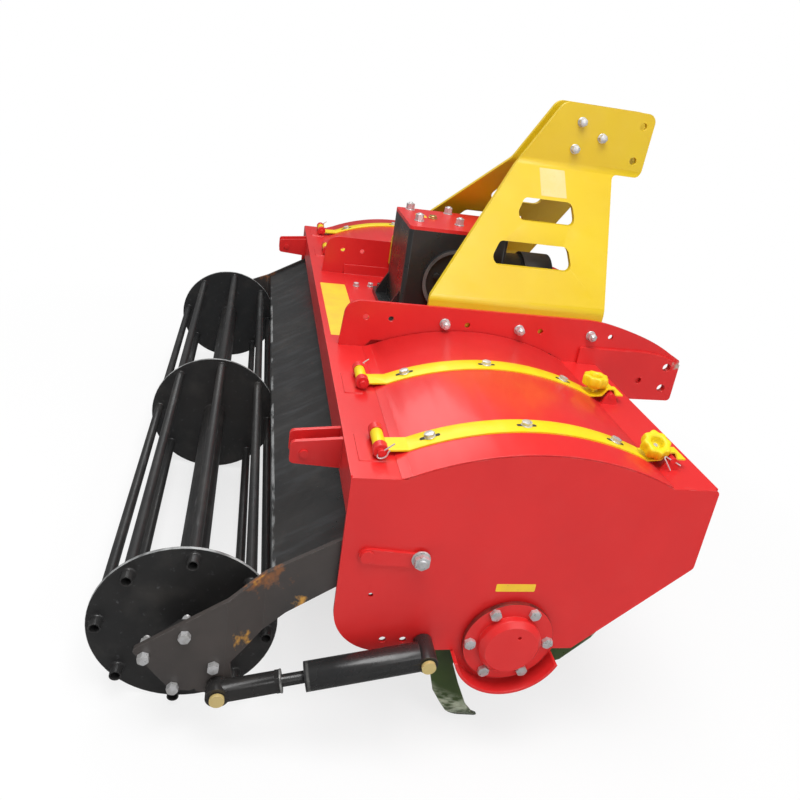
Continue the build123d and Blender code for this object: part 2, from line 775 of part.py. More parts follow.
# ---- Roller frame: two joggled arms and the board between them ----
arm_dy = arm_knee_y - arm_pivot_y
arm_dz = arm_knee_z - arm_pivot_z
arm_run = hypot(arm_dy, arm_dz)
arm_across = (-arm_dz / arm_run * arm_half_width, arm_dy / arm_run * arm_half_width)
with BuildPart() as roller_arm_right:
    with BuildSketch(Plane.XY.offset(arm_strip_low)):
        with BuildLine():
            Polyline(
                (-arm_rear_outside, arm_strip_rear),
                (-arm_rear_outside, arm_joggle_rear),
                (-arm_front_outside, arm_joggle_front),
                (-arm_front_outside, arm_strip_front),
            )
            offset(amount=arm_plate, side=Side.LEFT)
        make_face()
    extrude(amount=arm_pivot_z + arm_half_width + 5 - arm_strip_low)
    with BuildSketch(side_plane(-arm_rear_outside - 5)):
        with BuildLine():
            FilletPolyline(
                (arm_pivot_y + arm_across[0], arm_pivot_z + arm_across[1]),
                (330.0, 414.0),
                (405.0, 370.0),
                (594.0, 244.0),
                (508.0, 128.0),
                (462.0, 124.0),
                (350.0, 226.0),
                (262.0, 313.0),
                (arm_pivot_y - arm_across[0], arm_pivot_z - arm_across[1]),
                close=True,
                radius=(0.0, 60.0, 60.0, 10.0, 16.0, 16.0, 60.0, 60.0, 0.0),
            )
        make_face()
        with Locations((arm_pivot_y, arm_pivot_z)):
            Circle(arm_half_width)
        with BuildLine():
            Polyline(
                (link_rear_y - 30, link_rear_z + 8),
                (link_rear_y - 20, 222.0),
                (470.0, 180.0),
                (452.0, 122.0),
                (link_rear_y + 8, link_rear_z - 30),
                close=True,
            )
        make_face()
        with Locations((link_rear_y, link_rear_z)):
            Circle(31.0)
        with Locations((arm_pivot_y, arm_pivot_z)):
            Circle(pivot_pin_radius + pin_clearance, mode=Mode.SUBTRACT)
    extrude(amount=arm_rear_outside + 5 - arm_front_outside + arm_plate + 5, mode=Mode.INTERSECT)
    with BuildSketch(side_plane(-arm_rear_outside)):
        with Locations((link_rear_y, link_rear_z)):
            Circle(link_pin_radius)
    extrude(amount=-(link_x - arm_rear_outside + link_eye_width / 2 + 2))
    with BuildSketch(side_plane(-link_x - link_eye_width / 2 - 2)):
        with Locations((link_rear_y, link_rear_z)):
            Circle(link_pin_radius + 5)
    extrude(amount=-9.0)
keep(roller_arm_right, "roller_arm_right")

with BuildPart() as roller_arm_left:
    mirror(roller_arm_right.part, about=Plane.YZ)
keep(roller_arm_left, "roller_arm_left")

board_half = arm_front_outside - arm_plate
with BuildPart() as tail_board:
    with BuildSketch(side_plane(-board_half)):
        with BuildLine():
            Polyline(
                (board_front_y, board_front_z),
                (board_lip_y, board_lip_z),
                (board_lip_y, board_lip_z - board_lip_drop),
            )
            offset(amount=-sheet, side=Side.LEFT)
        make_face()
    extrude(amount=2 * board_half)
keep(tail_board, "tail_board")

# ---- Roller bearings: square flanges bolted inside the arms ----
arm_rear_inside = arm_rear_outside - arm_plate
with BuildPart() as roller_bearing_right:
    with BuildSketch(side_plane(-arm_rear_inside)):
        with Locations(Location((roller_y, roller_z, 0), (0, 0, 51.0))):
            RectangleRounded(bearing_square + 32, bearing_square + 32, 24.0)
    extrude(amount=15.0)
    with BuildSketch(side_plane(-arm_rear_inside)):
        with Locations((roller_y, roller_z)):
            Circle(50.0)
    extrude(amount=bearing_length)
    with BuildSketch(side_plane(-arm_rear_inside)):
        with Locations((roller_y, roller_z)):
            Circle(roller_stub_radius + pin_clearance)
    extrude(amount=bearing_length, mode=Mode.SUBTRACT)
keep(roller_bearing_right, "roller_bearing_right")

with BuildPart() as roller_bearing_left:
    mirror(roller_bearing_right.part, about=Plane.YZ)
keep(roller_bearing_left, "roller_bearing_left")

# ---- Roller: three discs, a ring of open tubes and a thick axle tube ----
with BuildPart() as roller:
    for disc_x in (-roller_disc_x, -roller_disc / 2, roller_disc_x - roller_disc):
        with BuildSketch(side_plane(disc_x)):
            with Locations((roller_y, roller_z)):
                Circle(roller_radius)
        extrude(amount=roller_disc)
    with BuildSketch(side_plane(-roller_disc_x)):
        with Locations((roller_y, roller_z)):
            Circle(roller_axle_radius)
    extrude(amount=2 * roller_disc_x)
    with BuildSketch(side_plane(roller_stub_gap - arm_rear_inside)):
        with Locations((roller_y, roller_z)):
            Circle(roller_stub_radius)
    extrude(amount=2 * (arm_rear_inside - roller_stub_gap))
    with BuildSketch(side_plane(-roller_disc_x - roller_tube_overhang)):
        with Locations((roller_y, roller_z)):
            with PolarLocations(roller_tube_circle, roller_tube_count, start_angle=5.0):
                Circle(roller_tube_radius)
    extrude(amount=2 * (roller_disc_x + roller_tube_overhang))
    with BuildSketch(side_plane(-roller_disc_x - roller_tube_overhang)):
        with Locations((roller_y, roller_z)):
            with PolarLocations(roller_tube_circle, roller_tube_count, start_angle=5.0):
                Circle(roller_tube_radius - roller_tube_wall)
    extrude(amount=2 * (roller_disc_x + roller_tube_overhang), mode=Mode.SUBTRACT)
keep(roller, "roller")

# ---- Adjusting links: a barrel hinged on the side plate and a threaded rod hinged on the arm ----
link_plane = Plane(
    (-link_x, link_front_y, link_front_z),
    x_dir=(1, 0, 0),
    z_dir=(0, link_dy, link_dz),
)
with BuildPart() as link_barrel_right:
    with BuildSketch(link_plane.offset(link_bush_radius * 0.6)):
        Circle(link_barrel_radius)
    extrude(amount=link_barrel_end - link_bush_radius * 0.6)
    with BuildSketch(side_plane(-half_width - link_bush_gap)):
        with Locations((link_front_y, link_front_z)):
            Circle(link_bush_radius)
    extrude(amount=-(2 * (link_x - half_width) - 22))
    with BuildSketch(side_plane(-half_width - link_bush_gap)):
        with Locations((link_front_y, link_front_z)):
            Circle(link_pin_radius + pin_clearance)
    extrude(amount=-(2 * (link_x - half_width) - 22), mode=Mode.SUBTRACT)
    with BuildSketch(link_plane.offset(link_barrel_end)):
        Circle(link_thread_radius + link_thread_play)
    extrude(amount=-(link_barrel_end - link_bore_start), mode=Mode.SUBTRACT)
keep(link_barrel_right, "link_barrel_right")

with BuildPart() as link_barrel_left:
    mirror(link_barrel_right.part, about=Plane.YZ)
keep(link_barrel_left, "link_barrel_left")

with BuildPart() as link_rod_right:
    with BuildSketch(link_plane.offset(link_thread_start)):
        Circle(link_thread_radius)
    extrude(amount=link_body_start - link_thread_start)
    with BuildSketch(link_plane.offset(link_body_start - 14)):
        RegularPolygon(link_body_radius + 2, 6)
    extrude(amount=14.0)
    with BuildSketch(link_plane.offset(link_body_start)):
        Circle(link_body_radius)
    extrude(amount=link_length - link_body_start - 12.0)
    with BuildSketch(side_plane(-link_x - link_eye_width / 2)):
        with Locations((link_rear_y, link_rear_z)):
            Circle(link_eye_radius)
    extrude(amount=link_eye_width)
    with BuildSketch(side_plane(-link_x - link_eye_width)):
        with Locations((link_rear_y, link_rear_z)):
            Circle(link_pin_radius + link_eye_play)
    extrude(amount=2 * link_eye_width, mode=Mode.SUBTRACT)
    split(bisect_by=Plane.YZ.offset(-link_x - link_eye_width / 2), keep=Keep.TOP)
    split(bisect_by=Plane.YZ.offset(-link_x + link_eye_width / 2), keep=Keep.BOTTOM)
keep(link_rod_right, "link_rod_right")

with BuildPart() as link_rod_left:
    mirror(link_rod_right.part, about=Plane.YZ)
keep(link_rod_left, "link_rod_left")

# ---- Side pins: the arm's pivot pin with its keeper bar, and the link's pin ----
with BuildPart() as side_pins_right:
    with BuildSketch(side_plane(-half_width)):
        with Locations((arm_pivot_y, arm_pivot_z), (keeper_front_y, keeper_front_z)):
            Circle(keeper_half_height)
        make_hull()
    extrude(amount=-keeper_plate)
    with BuildSketch(side_plane(-half_width - keeper_plate - 5)):
        with Locations((arm_pivot_y, arm_pivot_z)):
            Circle(pivot_pin_radius)
    extrude(amount=keeper_plate + 5 + side_plate + arm_side_gap + arm_plate + 6)
    with BuildSketch(side_plane(-inner_x + 4)):
        with Locations((link_front_y, link_front_z)):
            Circle(link_pin_radius)
    extrude(amount=-(2 * (link_x - half_width) + side_plate - 12))
    with BuildSketch(side_plane(-link_x - (link_x - half_width) + 16)):
        with Locations((link_front_y, link_front_z)):
            Circle(link_pin_radius + 5)
    extrude(amount=-9.0)
keep(side_pins_right, "side_pins_right")

with BuildPart() as side_pins_left:
    mirror(side_pins_right.part, about=Plane.YZ)
keep(side_pins_left, "side_pins_left")

# ---- Rear clevises: two ears and a pin on the rear beam's face ----
with BuildPart() as rear_clevis_right:
    for side in (-1, 1):
        with BuildSketch(side_plane(-clevis_x + side * (clevis_gap + clevis_plate) / 2 - clevis_plate / 2)):
            with BuildLine():
                FilletPolyline(
                    (rear_y, deck_z - 8),
                    (clevis_end_y, deck_z - 22),
                    (clevis_end_y, deck_z - 78),
                    (rear_y, deck_z - 87),
                    close=True,
                    radius=(0.0, 12.0, 12.0, 0.0),
                )
            make_face()
        extrude(amount=clevis_plate)
    with BuildSketch(side_plane(-clevis_x - clevis_gap / 2 - clevis_plate - 6)):
        with Locations((clevis_hole_y, clevis_hole_z)):
            Circle(clevis_pin_radius)
    extrude(amount=clevis_gap + 2 * clevis_plate + 12)
keep(rear_clevis_right, "rear_clevis_right")

with BuildPart() as rear_clevis_left:
    mirror(rear_clevis_right.part, about=Plane.YZ)
keep(rear_clevis_left, "rear_clevis_left")

# ---- Hinged covers: arched sheets that lie on the side plates' curved edges ----
cover_inner_x = beam_outside + cover_beam_gap
cover_rear_y = rear_seam_y - cover_end_gap
cover_front_y = front_seam_y + cover_end_gap


def arch_band(rear, front, low, high):
    """A face in the machine's own Y and Z that follows the arch, between two rises."""
    with BuildSketch() as band:
        with BuildLine():
            ThreePointArc(arch_point(rear, low), arch_point(arch_mid_y, low), arch_point(front, low))
            Line(arch_point(front, low), arch_point(front, high))
            ThreePointArc(arch_point(front, high), arch_point(arch_mid_y, high), arch_point(rear, high))
            Line(arch_point(rear, high), arch_point(rear, low))
        make_face()
    return band.sketch


cover_top = cover_seat + cover_sheet
with BuildPart() as cover_right:
    with BuildSketch(side_plane(-half_width)):
        add(arch_band(cover_rear_y, cover_front_y, cover_seat, cover_top))
    extrude(amount=half_width - cover_inner_x)
keep(cover_right, "cover_right")

with BuildPart() as cover_left:
    mirror(cover_right.part, about=Plane.YZ)
keep(cover_left, "cover_left")

# ---- Cover straps: arched bars with a rolled hinge tube, a humped front end and a star knob ----
strap_top = cover_top + strap_sheet
flat_z = catch_z - flat_drop
lip_z = catch_z - lip_drop
with BuildPart() as cover_straps_right:
    for strap_x, knob_lean in zip(strap_places, knob_leans):
        with BuildSketch(side_plane(-strap_x - strap_width / 2)):
            add(arch_band(strap_rear_y, strap_kink_y + 4, cover_top, strap_top))
            with BuildLine():
                Polyline(
                    arch_point(strap_rear_y, cover_top),
                    arch_point(strap_rear_y, strap_top),
                    (hinge_y, hinge_z - hinge_tube_radius + strap_sheet),
                    (hinge_y, hinge_z - hinge_tube_radius),
                    close=True,
                )
            make_face()
            with Locations((hinge_y, hinge_z)):
                Circle(hinge_tube_radius)
                Circle(hinge_pin_radius + pin_clearance, mode=Mode.SUBTRACT)
            with BuildLine():
                FilletPolyline(
                    arch_point(strap_kink_y + 8, cover_top),
                    arch_point(strap_kink_y, cover_top),
                    (catch_y + hump_radius + 9, flat_z),
                    (catch_y + hump_radius - 5, catch_z + hump_radius),
                    (catch_y - hump_radius + 7, catch_z + hump_radius),
                    (catch_y - hump_radius - 2, lip_z),
                    (strap_lip_y, lip_z),
                    radius=(8.0, 8.0, 7.0, 7.0, 8.0),
                )
                offset(amount=strap_sheet, side=Side.RIGHT)
            make_face()
        extrude(amount=strap_width)
        knob_plane = Plane(
            (-strap_x, knob_y, flat_z + strap_sheet),
            x_dir=(0, 1, 0),
            z_dir=(-sin(radians(knob_lean)), 0, cos(radians(knob_lean))),
        )
        with BuildSketch(knob_plane.offset(1 - strap_sheet)):
            Circle(knob_stud_radius)
        extrude(amount=knob_foot + strap_sheet)
        with BuildSketch(knob_plane.offset(knob_foot)):
            Circle(knob_neck_radius)
        extrude(amount=knob_neck)
        with BuildSketch(knob_plane.offset(knob_foot + knob_neck)):
            Circle(knob_radius * 0.78)
            with PolarLocations(knob_radius * 0.68, knob_lobes):
                Circle(knob_radius * 0.2)
        extrude(amount=knob_height - knob_foot - knob_neck)
        with BuildSketch(knob_plane.offset(knob_height)):
            Circle(knob_radius * 0.5)
        extrude(amount=-knob_hollow, mode=Mode.SUBTRACT)
keep(cover_straps_right, "cover_straps_right")

with BuildPart() as cover_straps_left:
    mirror(cover_straps_right.part, about=Plane.YZ)
keep(cover_straps_left, "cover_straps_left")

# ---- Stand every piece on the floor and write it ----
for piece in finished:
    name = piece.label
    standing = parked * piece
    standing.label = name
    export_step(standing, f"parts/{name}.step")
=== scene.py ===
import json
from math import asin, atan2, cos, pi, radians, sin

import bmesh
import bpy
from mathutils import Matrix, Vector


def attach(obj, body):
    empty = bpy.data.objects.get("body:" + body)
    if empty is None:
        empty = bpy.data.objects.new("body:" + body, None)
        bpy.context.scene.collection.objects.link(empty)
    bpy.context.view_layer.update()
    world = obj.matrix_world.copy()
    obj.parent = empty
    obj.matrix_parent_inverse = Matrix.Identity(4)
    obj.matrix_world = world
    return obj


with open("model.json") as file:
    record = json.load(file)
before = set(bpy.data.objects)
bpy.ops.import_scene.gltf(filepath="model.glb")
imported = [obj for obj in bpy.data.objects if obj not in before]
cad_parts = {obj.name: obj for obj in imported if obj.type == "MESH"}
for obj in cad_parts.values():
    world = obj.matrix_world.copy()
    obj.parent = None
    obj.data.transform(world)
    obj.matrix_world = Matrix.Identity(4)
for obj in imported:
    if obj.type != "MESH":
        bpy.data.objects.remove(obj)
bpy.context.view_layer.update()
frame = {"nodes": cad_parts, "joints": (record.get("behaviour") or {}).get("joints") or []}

# ---------------------------------------------------------------------------
# Parked stance. The machine is drawn level and stands nose up on its blade
# tips and roller; the input shaft's axis gives the slope, and the rotor's
# axis ties the level drawing to the floor.
# ---------------------------------------------------------------------------
joints = {joint["name"]: joint for joint in frame["joints"]}
slope = atan2(joints["pto_spin"]["axis"][2], joints["pto_spin"]["axis"][1])
rotor_y, rotor_z = -0.284, 0.248
stance = Matrix.Rotation(slope, 4, "X")
stance.translation = Vector(joints["rotor_spin"]["pos_m"]) - stance.to_3x3() @ Vector((0.0, rotor_y, rotor_z))
sides = (("right", -1), ("left", 1))


def spot(x, y, z):
    """A place on the level machine, in metres, as it stands parked."""
    return stance @ Vector((x, y, z))


def aim(x, y, z, toward=(0.0, 0.0, 1.0), turn=0.0):
    """A place on the level machine whose own Z looks toward, turned about it by so many degrees."""
    facing = Vector(toward).to_track_quat("Z", "Y").to_matrix().to_4x4()
    return stance @ Matrix.Translation((x, y, z)) @ facing @ Matrix.Rotation(radians(turn), 4, "Z")


# ---------------------------------------------------------------------------
# Red paint. Hood, beams, plates and hinged covers are steel sheet sprayed with
# one coat of bright red enamel: glossy with a fine orange peel, a little dust
# in patches, and thin pale wear along the edges.
# ---------------------------------------------------------------------------
def node(tree, kind, inputs=None, **settings):
    """One shader node with its settings and its plain or linked inputs."""
    made = tree.nodes.new(kind)
    for key, value in settings.items():
        setattr(made, key, value)
    for key, value in (inputs or {}).items():
        if isinstance(value, bpy.types.NodeSocket):
            tree.links.new(value, made.inputs[key])
        else:
            made.inputs[key].default_value = value
    return made


def place_on(tree):
    """The shaded place in the object's own metres."""
    return node(tree, "ShaderNodeTexCoord").outputs["Object"]


def noise(tree, scale, detail=3.0, stretch=(1.0, 1.0, 1.0)):
    """Noise that stays on the object, scale in bumps a metre."""
    mapping = node(tree, "ShaderNodeMapping", {"Vector": place_on(tree), "Scale": stretch})
    settings = {"Vector": mapping.outputs["Vector"], "Scale": scale, "Detail": detail, "Roughness": 0.6}
    return node(tree, "ShaderNodeTexNoise", settings).outputs["Fac"]


def band(tree, value, low, high, bottom=0.0, top=1.0):
    """Stretches value between low and high, clamped to bottom and top."""
    settings = {"Value": value, "From Min": low, "From Max": high, "To Min": bottom, "To Max": top}
    return node(tree, "ShaderNodeMapRange", settings, clamp=True).outputs["Result"]


def combine(tree, operation, first, second=0.0):
    """Two values added, multiplied or compared."""
    return node(tree, "ShaderNodeMath", {0: first, 1: second}, operation=operation).outputs["Value"]


def measure(tree, operation, first, second=(0.0, 0.0, 0.0), output="Value"):
    """Two vectors joined, or their distance, product or length."""
    return node(tree, "ShaderNodeVectorMath", {0: first, 1: second}, operation=operation).outputs[output]


def blend_colours(tree, share, first, second):
    """first where share is 0, second where it is 1; a colour is a socket or three numbers."""
    made = node(tree, "ShaderNodeMix", data_type="RGBA")
    for socket, value in ((made.inputs[0], share), (made.inputs[6], first), (made.inputs[7], second)):
        if isinstance(value, bpy.types.NodeSocket):
            tree.links.new(value, socket)
        else:
            socket.default_value = value if isinstance(value, float) else (*value, 1.0)
    return made.outputs[2]


def edge_wear(tree, radius):
    """1 along sharp edges and 0 on flat faces, broken up by noise."""
    rounded = node(tree, "ShaderNodeBevel", {"Radius": radius}, samples=4).outputs["Normal"]
    flat = node(tree, "ShaderNodeNewGeometry").outputs["Normal"]
    away = combine(tree, "SUBTRACT", 1.0, measure(tree, "DOT_PRODUCT", rounded, flat))
    broken = band(tree, noise(tree, 38.0, 5.0), 0.46, 0.62)
    return combine(tree, "MULTIPLY", band(tree, away, 0.02, 0.12), broken)


def finish(name, metallic=0.0, coat=0.0):
    """A new material, its node tree and its shader."""
    material = bpy.data.materials.new(name)
    material.use_nodes = True
    shader = material.node_tree.nodes["Principled BSDF"]
    shader.inputs["Metallic"].default_value = metallic
    shader.inputs["Coat Weight"].default_value = coat
    shader.inputs["Coat Roughness"].default_value = 0.12
    return material, material.node_tree, shader


def coarsen(tree, shader, scale, strength, distance):
    """Fine bumps in the surface."""
    settings = {"Height": noise(tree, scale), "Strength": strength, "Distance": distance}
    bump = node(tree, "ShaderNodeBump", settings)
    tree.links.new(bump.outputs["Normal"], shader.inputs["Normal"])


def enamel(name, colour, shade, dust, bare, gloss=0.32, dusty=0.2, coat=0.12, haze=0.16, marks=()):
    """Sprayed enamel: colour with shade in soft patches, dust on top, bare metal along the edges,
    and marks, each a function that gives a share and the colour that it shows."""
    material, tree, shader = finish(name, coat=coat)
    shaded = band(tree, noise(tree, 2.6, 4.0), 0.35, 0.7)
    dusted = band(tree, noise(tree, 9.0, 8.0), 0.52, 0.78, 0.0, dusty)
    worn = combine(tree, "MULTIPLY", edge_wear(tree, wear_radius), wear_share)
    painted = blend_colours(tree, shaded, colour, shade)
    painted = blend_colours(tree, dusted, painted, dust)
    painted = blend_colours(tree, worn, painted, bare)
    for mark in marks:
        share, mark_colour = mark(tree)
        painted = blend_colours(tree, share, painted, mark_colour)
    tree.links.new(painted, shader.inputs["Base Color"])
    dulled = band(tree, noise(tree, 14.0, 6.0), 0.3, 0.75, gloss - haze / 2, gloss + haze)
    tree.links.new(dulled, shader.inputs["Roughness"])
    coarsen(tree, shader, 420.0, 0.10, 0.0006)
    return material


def dress(material, *names, rounding=0.0012):
    """CAD nodes take a material, welded seams and lightly rounded edges."""
    for name in names:
        dressed = frame["nodes"][name]
        dressed.data.materials.clear()
        dressed.data.materials.append(material)
        weld = dressed.modifiers.new("weld", "WELD")
        weld.merge_threshold = 0.00002
        bevel = dressed.modifiers.new("rounding", "BEVEL")
        bevel.width = rounding
        bevel.segments = 2
        bevel.limit_method = "ANGLE"
        bevel.angle_limit = radians(28.0)
        bevel.harden_normals = True


def pair(*names):
    """The right and left node of each name."""
    return [f"{name}_{side}" for name in names for side, sign in sides]


def bloom(place, radius, colour):
    """A ragged patch of rust or bare metal round a place."""
    def mark(tree):
        distance = measure(tree, "DISTANCE", place_on(tree), place)
        ragged = combine(tree, "ADD", distance, band(tree, noise(tree, 45.0, 5.0), 0.3, 0.7, 0.0, radius))
        return band(tree, ragged, radius * 0.8, radius * 1.25, 0.9, 0.0), colour
    return mark


def from_axis(tree, place):
    """Distance from the line along X through a place."""
    offset = measure(tree, "SUBTRACT", place_on(tree), place, "Vector")
    flat = measure(tree, "MULTIPLY", offset, (0.0, 1.0, 1.0), "Vector")
    return measure(tree, "LENGTH", flat)


def cap_rim_grime_and_shade(tree):
    """The bearing caps' turned rims: grimy, and darkened to near black as painted shade of the gap behind the
    flange.
    """
    distance = from_axis(tree, spot(0, rotor_y, rotor_z))
    patchy_darkening = band(tree, noise(tree, 30.0, 5.0), 0.3, 0.65, 0.95, 0.6)
    return combine(tree, "MULTIPLY", combine(tree, "GREATER_THAN", distance, cap_rim_start), patchy_darkening), grime_and_shade_red


wear_radius, wear_share = 0.0025, 0.35
red_tones = dict(
    colour=(0.72, 0.022, 0.022),
    shade=(0.64, 0.018, 0.019),
    dust=(0.70, 0.20, 0.16),
    bare=(0.80, 0.30, 0.26),
    dusty=0.03,
    haze=0.03,
)
# the rims' near-black brown is partly grime and partly painted shade
cap_rim_start, grime_and_shade_red = 0.1143, (0.05, 0.02, 0.015)
beam_outside, plate_thickness = 0.4125, 0.012
nose_y, nose_z, nose_patch, scraped_steel = -1.040, 0.706, 0.030, (0.40, 0.40, 0.33)
worn_noses = []
for side, sign in sides:
    nose = spot(sign * (beam_outside + plate_thickness), nose_y, nose_z)
    worn_noses.append(bloom(nose, nose_patch, scraped_steel))
red_enamel = enamel("red_enamel", **red_tones, marks=worn_noses)
cap_enamel = enamel("cap_enamel", **red_tones, marks=(cap_rim_grime_and_shade,))
dress(red_enamel, *pair("side_plate", "hitch_beam", "hitch_plate", "rear_clevis", "hub_guard", "cover"))
dress(cap_enamel, *pair("hub_cap"))
dress(red_enamel, "rear_beam", "front_beam", "front_apron", "centre_deck", "gearcase_lid")

# ---------------------------------------------------------------------------
# Yellow paint. The mast plates' yellow is darkened as painted shade, for upright plates in
# less light; the cover straps are lemon, a shade deeper where it ran thin, with handling marks.
# ---------------------------------------------------------------------------
yellow_wear = dict(dust=(0.72, 0.60, 0.22), bare=(0.97, 0.86, 0.40), dusty=0.08, coat=0.04)
# painted shade: the mast's yellow is drawn darker than the straps' lemon, as upright plates take less light
mast_yellow_in_painted_shade = dict(colour=(0.70, 0.50, 0.006), shade=(0.66, 0.44, 0.005), gloss=0.44)
lemon = dict(colour=(0.84, 0.65, 0.006), shade=(0.82, 0.58, 0.005), gloss=0.40)
shaded_mast_enamel = enamel("shaded_mast_enamel", **mast_yellow_in_painted_shade, **yellow_wear)
strap_enamel = enamel("strap_enamel", **lemon, **yellow_wear)
dress(shaded_mast_enamel, *pair("mast"))
dress(strap_enamel, *pair("cover_straps"))

# ---------------------------------------------------------------------------
# Hub bolts. Six zinc-plated steel bolts hold each rotor bearing's cap to its
# side plate, with low forged hex heads and turned chamfers.
# ---------------------------------------------------------------------------
def plated(name, colour, tarnish, roughness=0.32, metallic=0.75):
    """Plated or bare metal, clouded with tarnish."""
    material, tree, shader = finish(name, metallic=metallic)
    clouded = band(tree, noise(tree, 55.0, 5.0), 0.42, 0.72)
    tree.links.new(blend_colours(tree, clouded, colour, tarnish), shader.inputs["Base Color"])
    dulled = band(tree, noise(tree, 120.0, 3.0), 0.3, 0.7, roughness - 0.08, roughness + 0.14)
    tree.links.new(dulled, shader.inputs["Roughness"])
    coarsen(tree, shader, 900.0, 0.15, 0.0003)
    return material


def turned(angle, radius, height):
    """A point of a turned form, by its angle, radius and height."""
    return Vector((radius * cos(angle), radius * sin(angle), height))


def formed(shape, place, outline, around=24):
    """Adds a turned or forged form along place's Z. outline lists radius and height from the foot
    up, or is a function of the angle that does."""
    rings = []
    for step in range(around):
        angle = 2 * pi * step / around
        points = outline(angle) if callable(outline) else outline
        rings.append([shape.verts.new(place @ turned(angle, radius, height)) for radius, height in points])
    for step, column in enumerate(rings):
        after = rings[(step + 1) % around]
        for row in range(len(column) - 1):
            shape.faces.new((column[row], after[row], after[row + 1], column[row + 1]))
    shape.faces.new([column[0] for column in reversed(rings)])
    shape.faces.new([column[-1] for column in rings])


def hexagon(across, height, foot_chamfer=False):
    """The outline of a hex head or nut, its corners turned down to a round face."""
    flat = across / 2 * 0.95

    def outline(angle):
        reach = across / 2 / cos((angle + pi / 6) % (pi / 3) - pi / 6)
        fall = (reach - flat) * 0.5
        foot = [(flat, 0.0), (reach, fall)] if foot_chamfer else [(reach, 0.0)]
        return foot + [(reach, height - fall), (flat, height)]

    return outline


def threaded(shape, place, radius, length, pitch=0.002):
    """A thread's ridges along place's Z, with a chamfered end."""
    root = radius * 0.9
    outline = [(root, 0.0)]
    for ridge in range(max(1, round(length / pitch) - 1)):
        outline += [(radius, pitch * (ridge + 0.5)), (root, pitch * (ridge + 1))]
    chamfer = (radius * 0.78, outline[-1][1] + pitch * 0.6)
    formed(shape, place, outline + [chamfer], 16)


def bolt(shape, place, across, washer=True, stud=0.0, tall=0.62):
    """A hex bolt's head on its washer, or a nut with a threaded stud end; tall is its height's share
    of its width."""
    base = 0.0
    if washer:
        base = across * 0.11
        rim = across * 0.66
        formed(shape, place, [(rim, 0.0), (rim, base * 0.7), (rim - base * 0.3, base)])
    height = across * tall
    head = place @ Matrix.Translation((0.0, 0.0, base))
    formed(shape, head, hexagon(across, height, foot_chamfer=stud > 0))
    if stud:
        threaded(shape, head @ Matrix.Translation((0.0, 0.0, height)), across / 3, stud)


def piece(name, shape, material, body, crease=35.0):
    """A finished mesh that rides on a body, smooth but for edges sharper than crease degrees."""
    bmesh.ops.recalc_face_normals(shape, faces=shape.faces)
    mesh = bpy.data.meshes.new(name)
    shape.to_mesh(mesh)
    shape.free()
    mesh.polygons.foreach_set("use_smooth", [True] * len(mesh.polygons))
    mesh.set_sharp_from_angle(angle=radians(crease))
    mesh.materials.append(material)
    made = bpy.data.objects.new(name, mesh)
    bpy.context.scene.collection.objects.link(made)
    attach(made, body)


def bolts(name, body, places, across, washer=True, stud=0.0, turn=0.0, tall=0.62):
    """One piece of like bolts, each at a place, pointing out of its face and stopped at its own turn."""
    shape = bmesh.new()
    for number, (place, toward) in enumerate(places):
        bolt(shape, aim(*place, toward, turn + 23.0 * number), across, washer, stud, tall)
    piece(name, shape, zinc, body)


zinc = plated("zinc_plating", colour=(0.72, 0.72, 0.73), tarnish=(0.52, 0.51, 0.49), metallic=0.55)
hub_face, hub_bolt_circle, hub_bolt_size = 1.218, 0.100, 0.026
for side, sign in sides:
    ring = []
    for turn in range(0, 360, 60):
        y = rotor_y + hub_bolt_circle * cos(radians(turn))
        z = rotor_z + hub_bolt_circle * sin(radians(turn))
        ring.append(((sign * hub_face, y, z), (sign, 0, 0)))
    bolts(f"hub_bolts_{side}", "frame", ring, hub_bolt_size, washer=False, tall=0.42)

# ---------------------------------------------------------------------------
# Side pins. The arm's pivot pin is welded to a red keeper bar that one big
# nut holds to the side plate; the link's pin is yellow-plated steel.
# ---------------------------------------------------------------------------
def along(tree, axis):
    """A coordinate of the object, 0 for X, 1 for Y, 2 for Z, in metres."""
    return node(tree, "ShaderNodeSeparateXYZ", {"Vector": place_on(tree)}).outputs[axis]


def plated_beyond(start):
    """Yellow plating further out than start on either side of the machine."""
    def mark(tree):
        return combine(tree, "GREATER_THAN", combine(tree, "ABSOLUTE", along(tree, 0)), start), brass_colour
    return mark


brass_colour = (0.56, 0.43, 0.17)
front_pin_start = 1.2135
pin_enamel = enamel("pin_enamel", **red_tones, marks=(plated_beyond(front_pin_start),))
dress(pin_enamel, *pair("side_pins"))
keeper_face, keeper_nut_y, keeper_nut_z, keeper_nut_size = 1.208, -0.029, 0.484, 0.034
for side, sign in sides:
    keeper = [((sign * keeper_face, keeper_nut_y, keeper_nut_z), (sign, 0, 0))]
    bolts(f"keeper_nut_{side}", "frame", keeper, keeper_nut_size, stud=0.004, tall=0.46)

# ---------------------------------------------------------------------------
# Headstock bolts. Zinc-plated bolts, heads inside the mast plates and nuts
# outside the hitch beams, hold the mast's feet; three more go through the
# spacer tubes and close the top link tabs.
# ---------------------------------------------------------------------------
foot_bolt_rows = (-0.207, -0.453, -0.701)
foot_bolt_z, foot_inside = 0.783, 0.3842
spacer_bolts = ((-0.664, 1.415), (-0.748, 1.372), (-0.658, 1.325))
tab_outside, headstock_bolt_size = 0.042, 0.025
for side, sign in sides:
    outside = [((sign * beam_outside, y, foot_bolt_z), (sign, 0, 0)) for y in foot_bolt_rows]
    inside = [((sign * foot_inside, y, foot_bolt_z), (-sign, 0, 0)) for y in foot_bolt_rows]
    tabs = [((sign * tab_outside, y, z), (sign, 0, 0)) for y, z in spacer_bolts]
    bolts(f"mast_foot_nuts_{side}", "frame", outside, headstock_bolt_size, stud=0.007, tall=0.8)
    bolts(f"mast_foot_bolts_{side}", "frame", inside, headstock_bolt_size)
    nut_stud = 0.005 if side == "left" else 0.0
    bolts(f"mast_tab_bolts_{side}", "frame", tabs, headstock_bolt_size, stud=nut_stud, tall=0.6)
dress(zinc, "mast_spacers", rounding=0.0006)

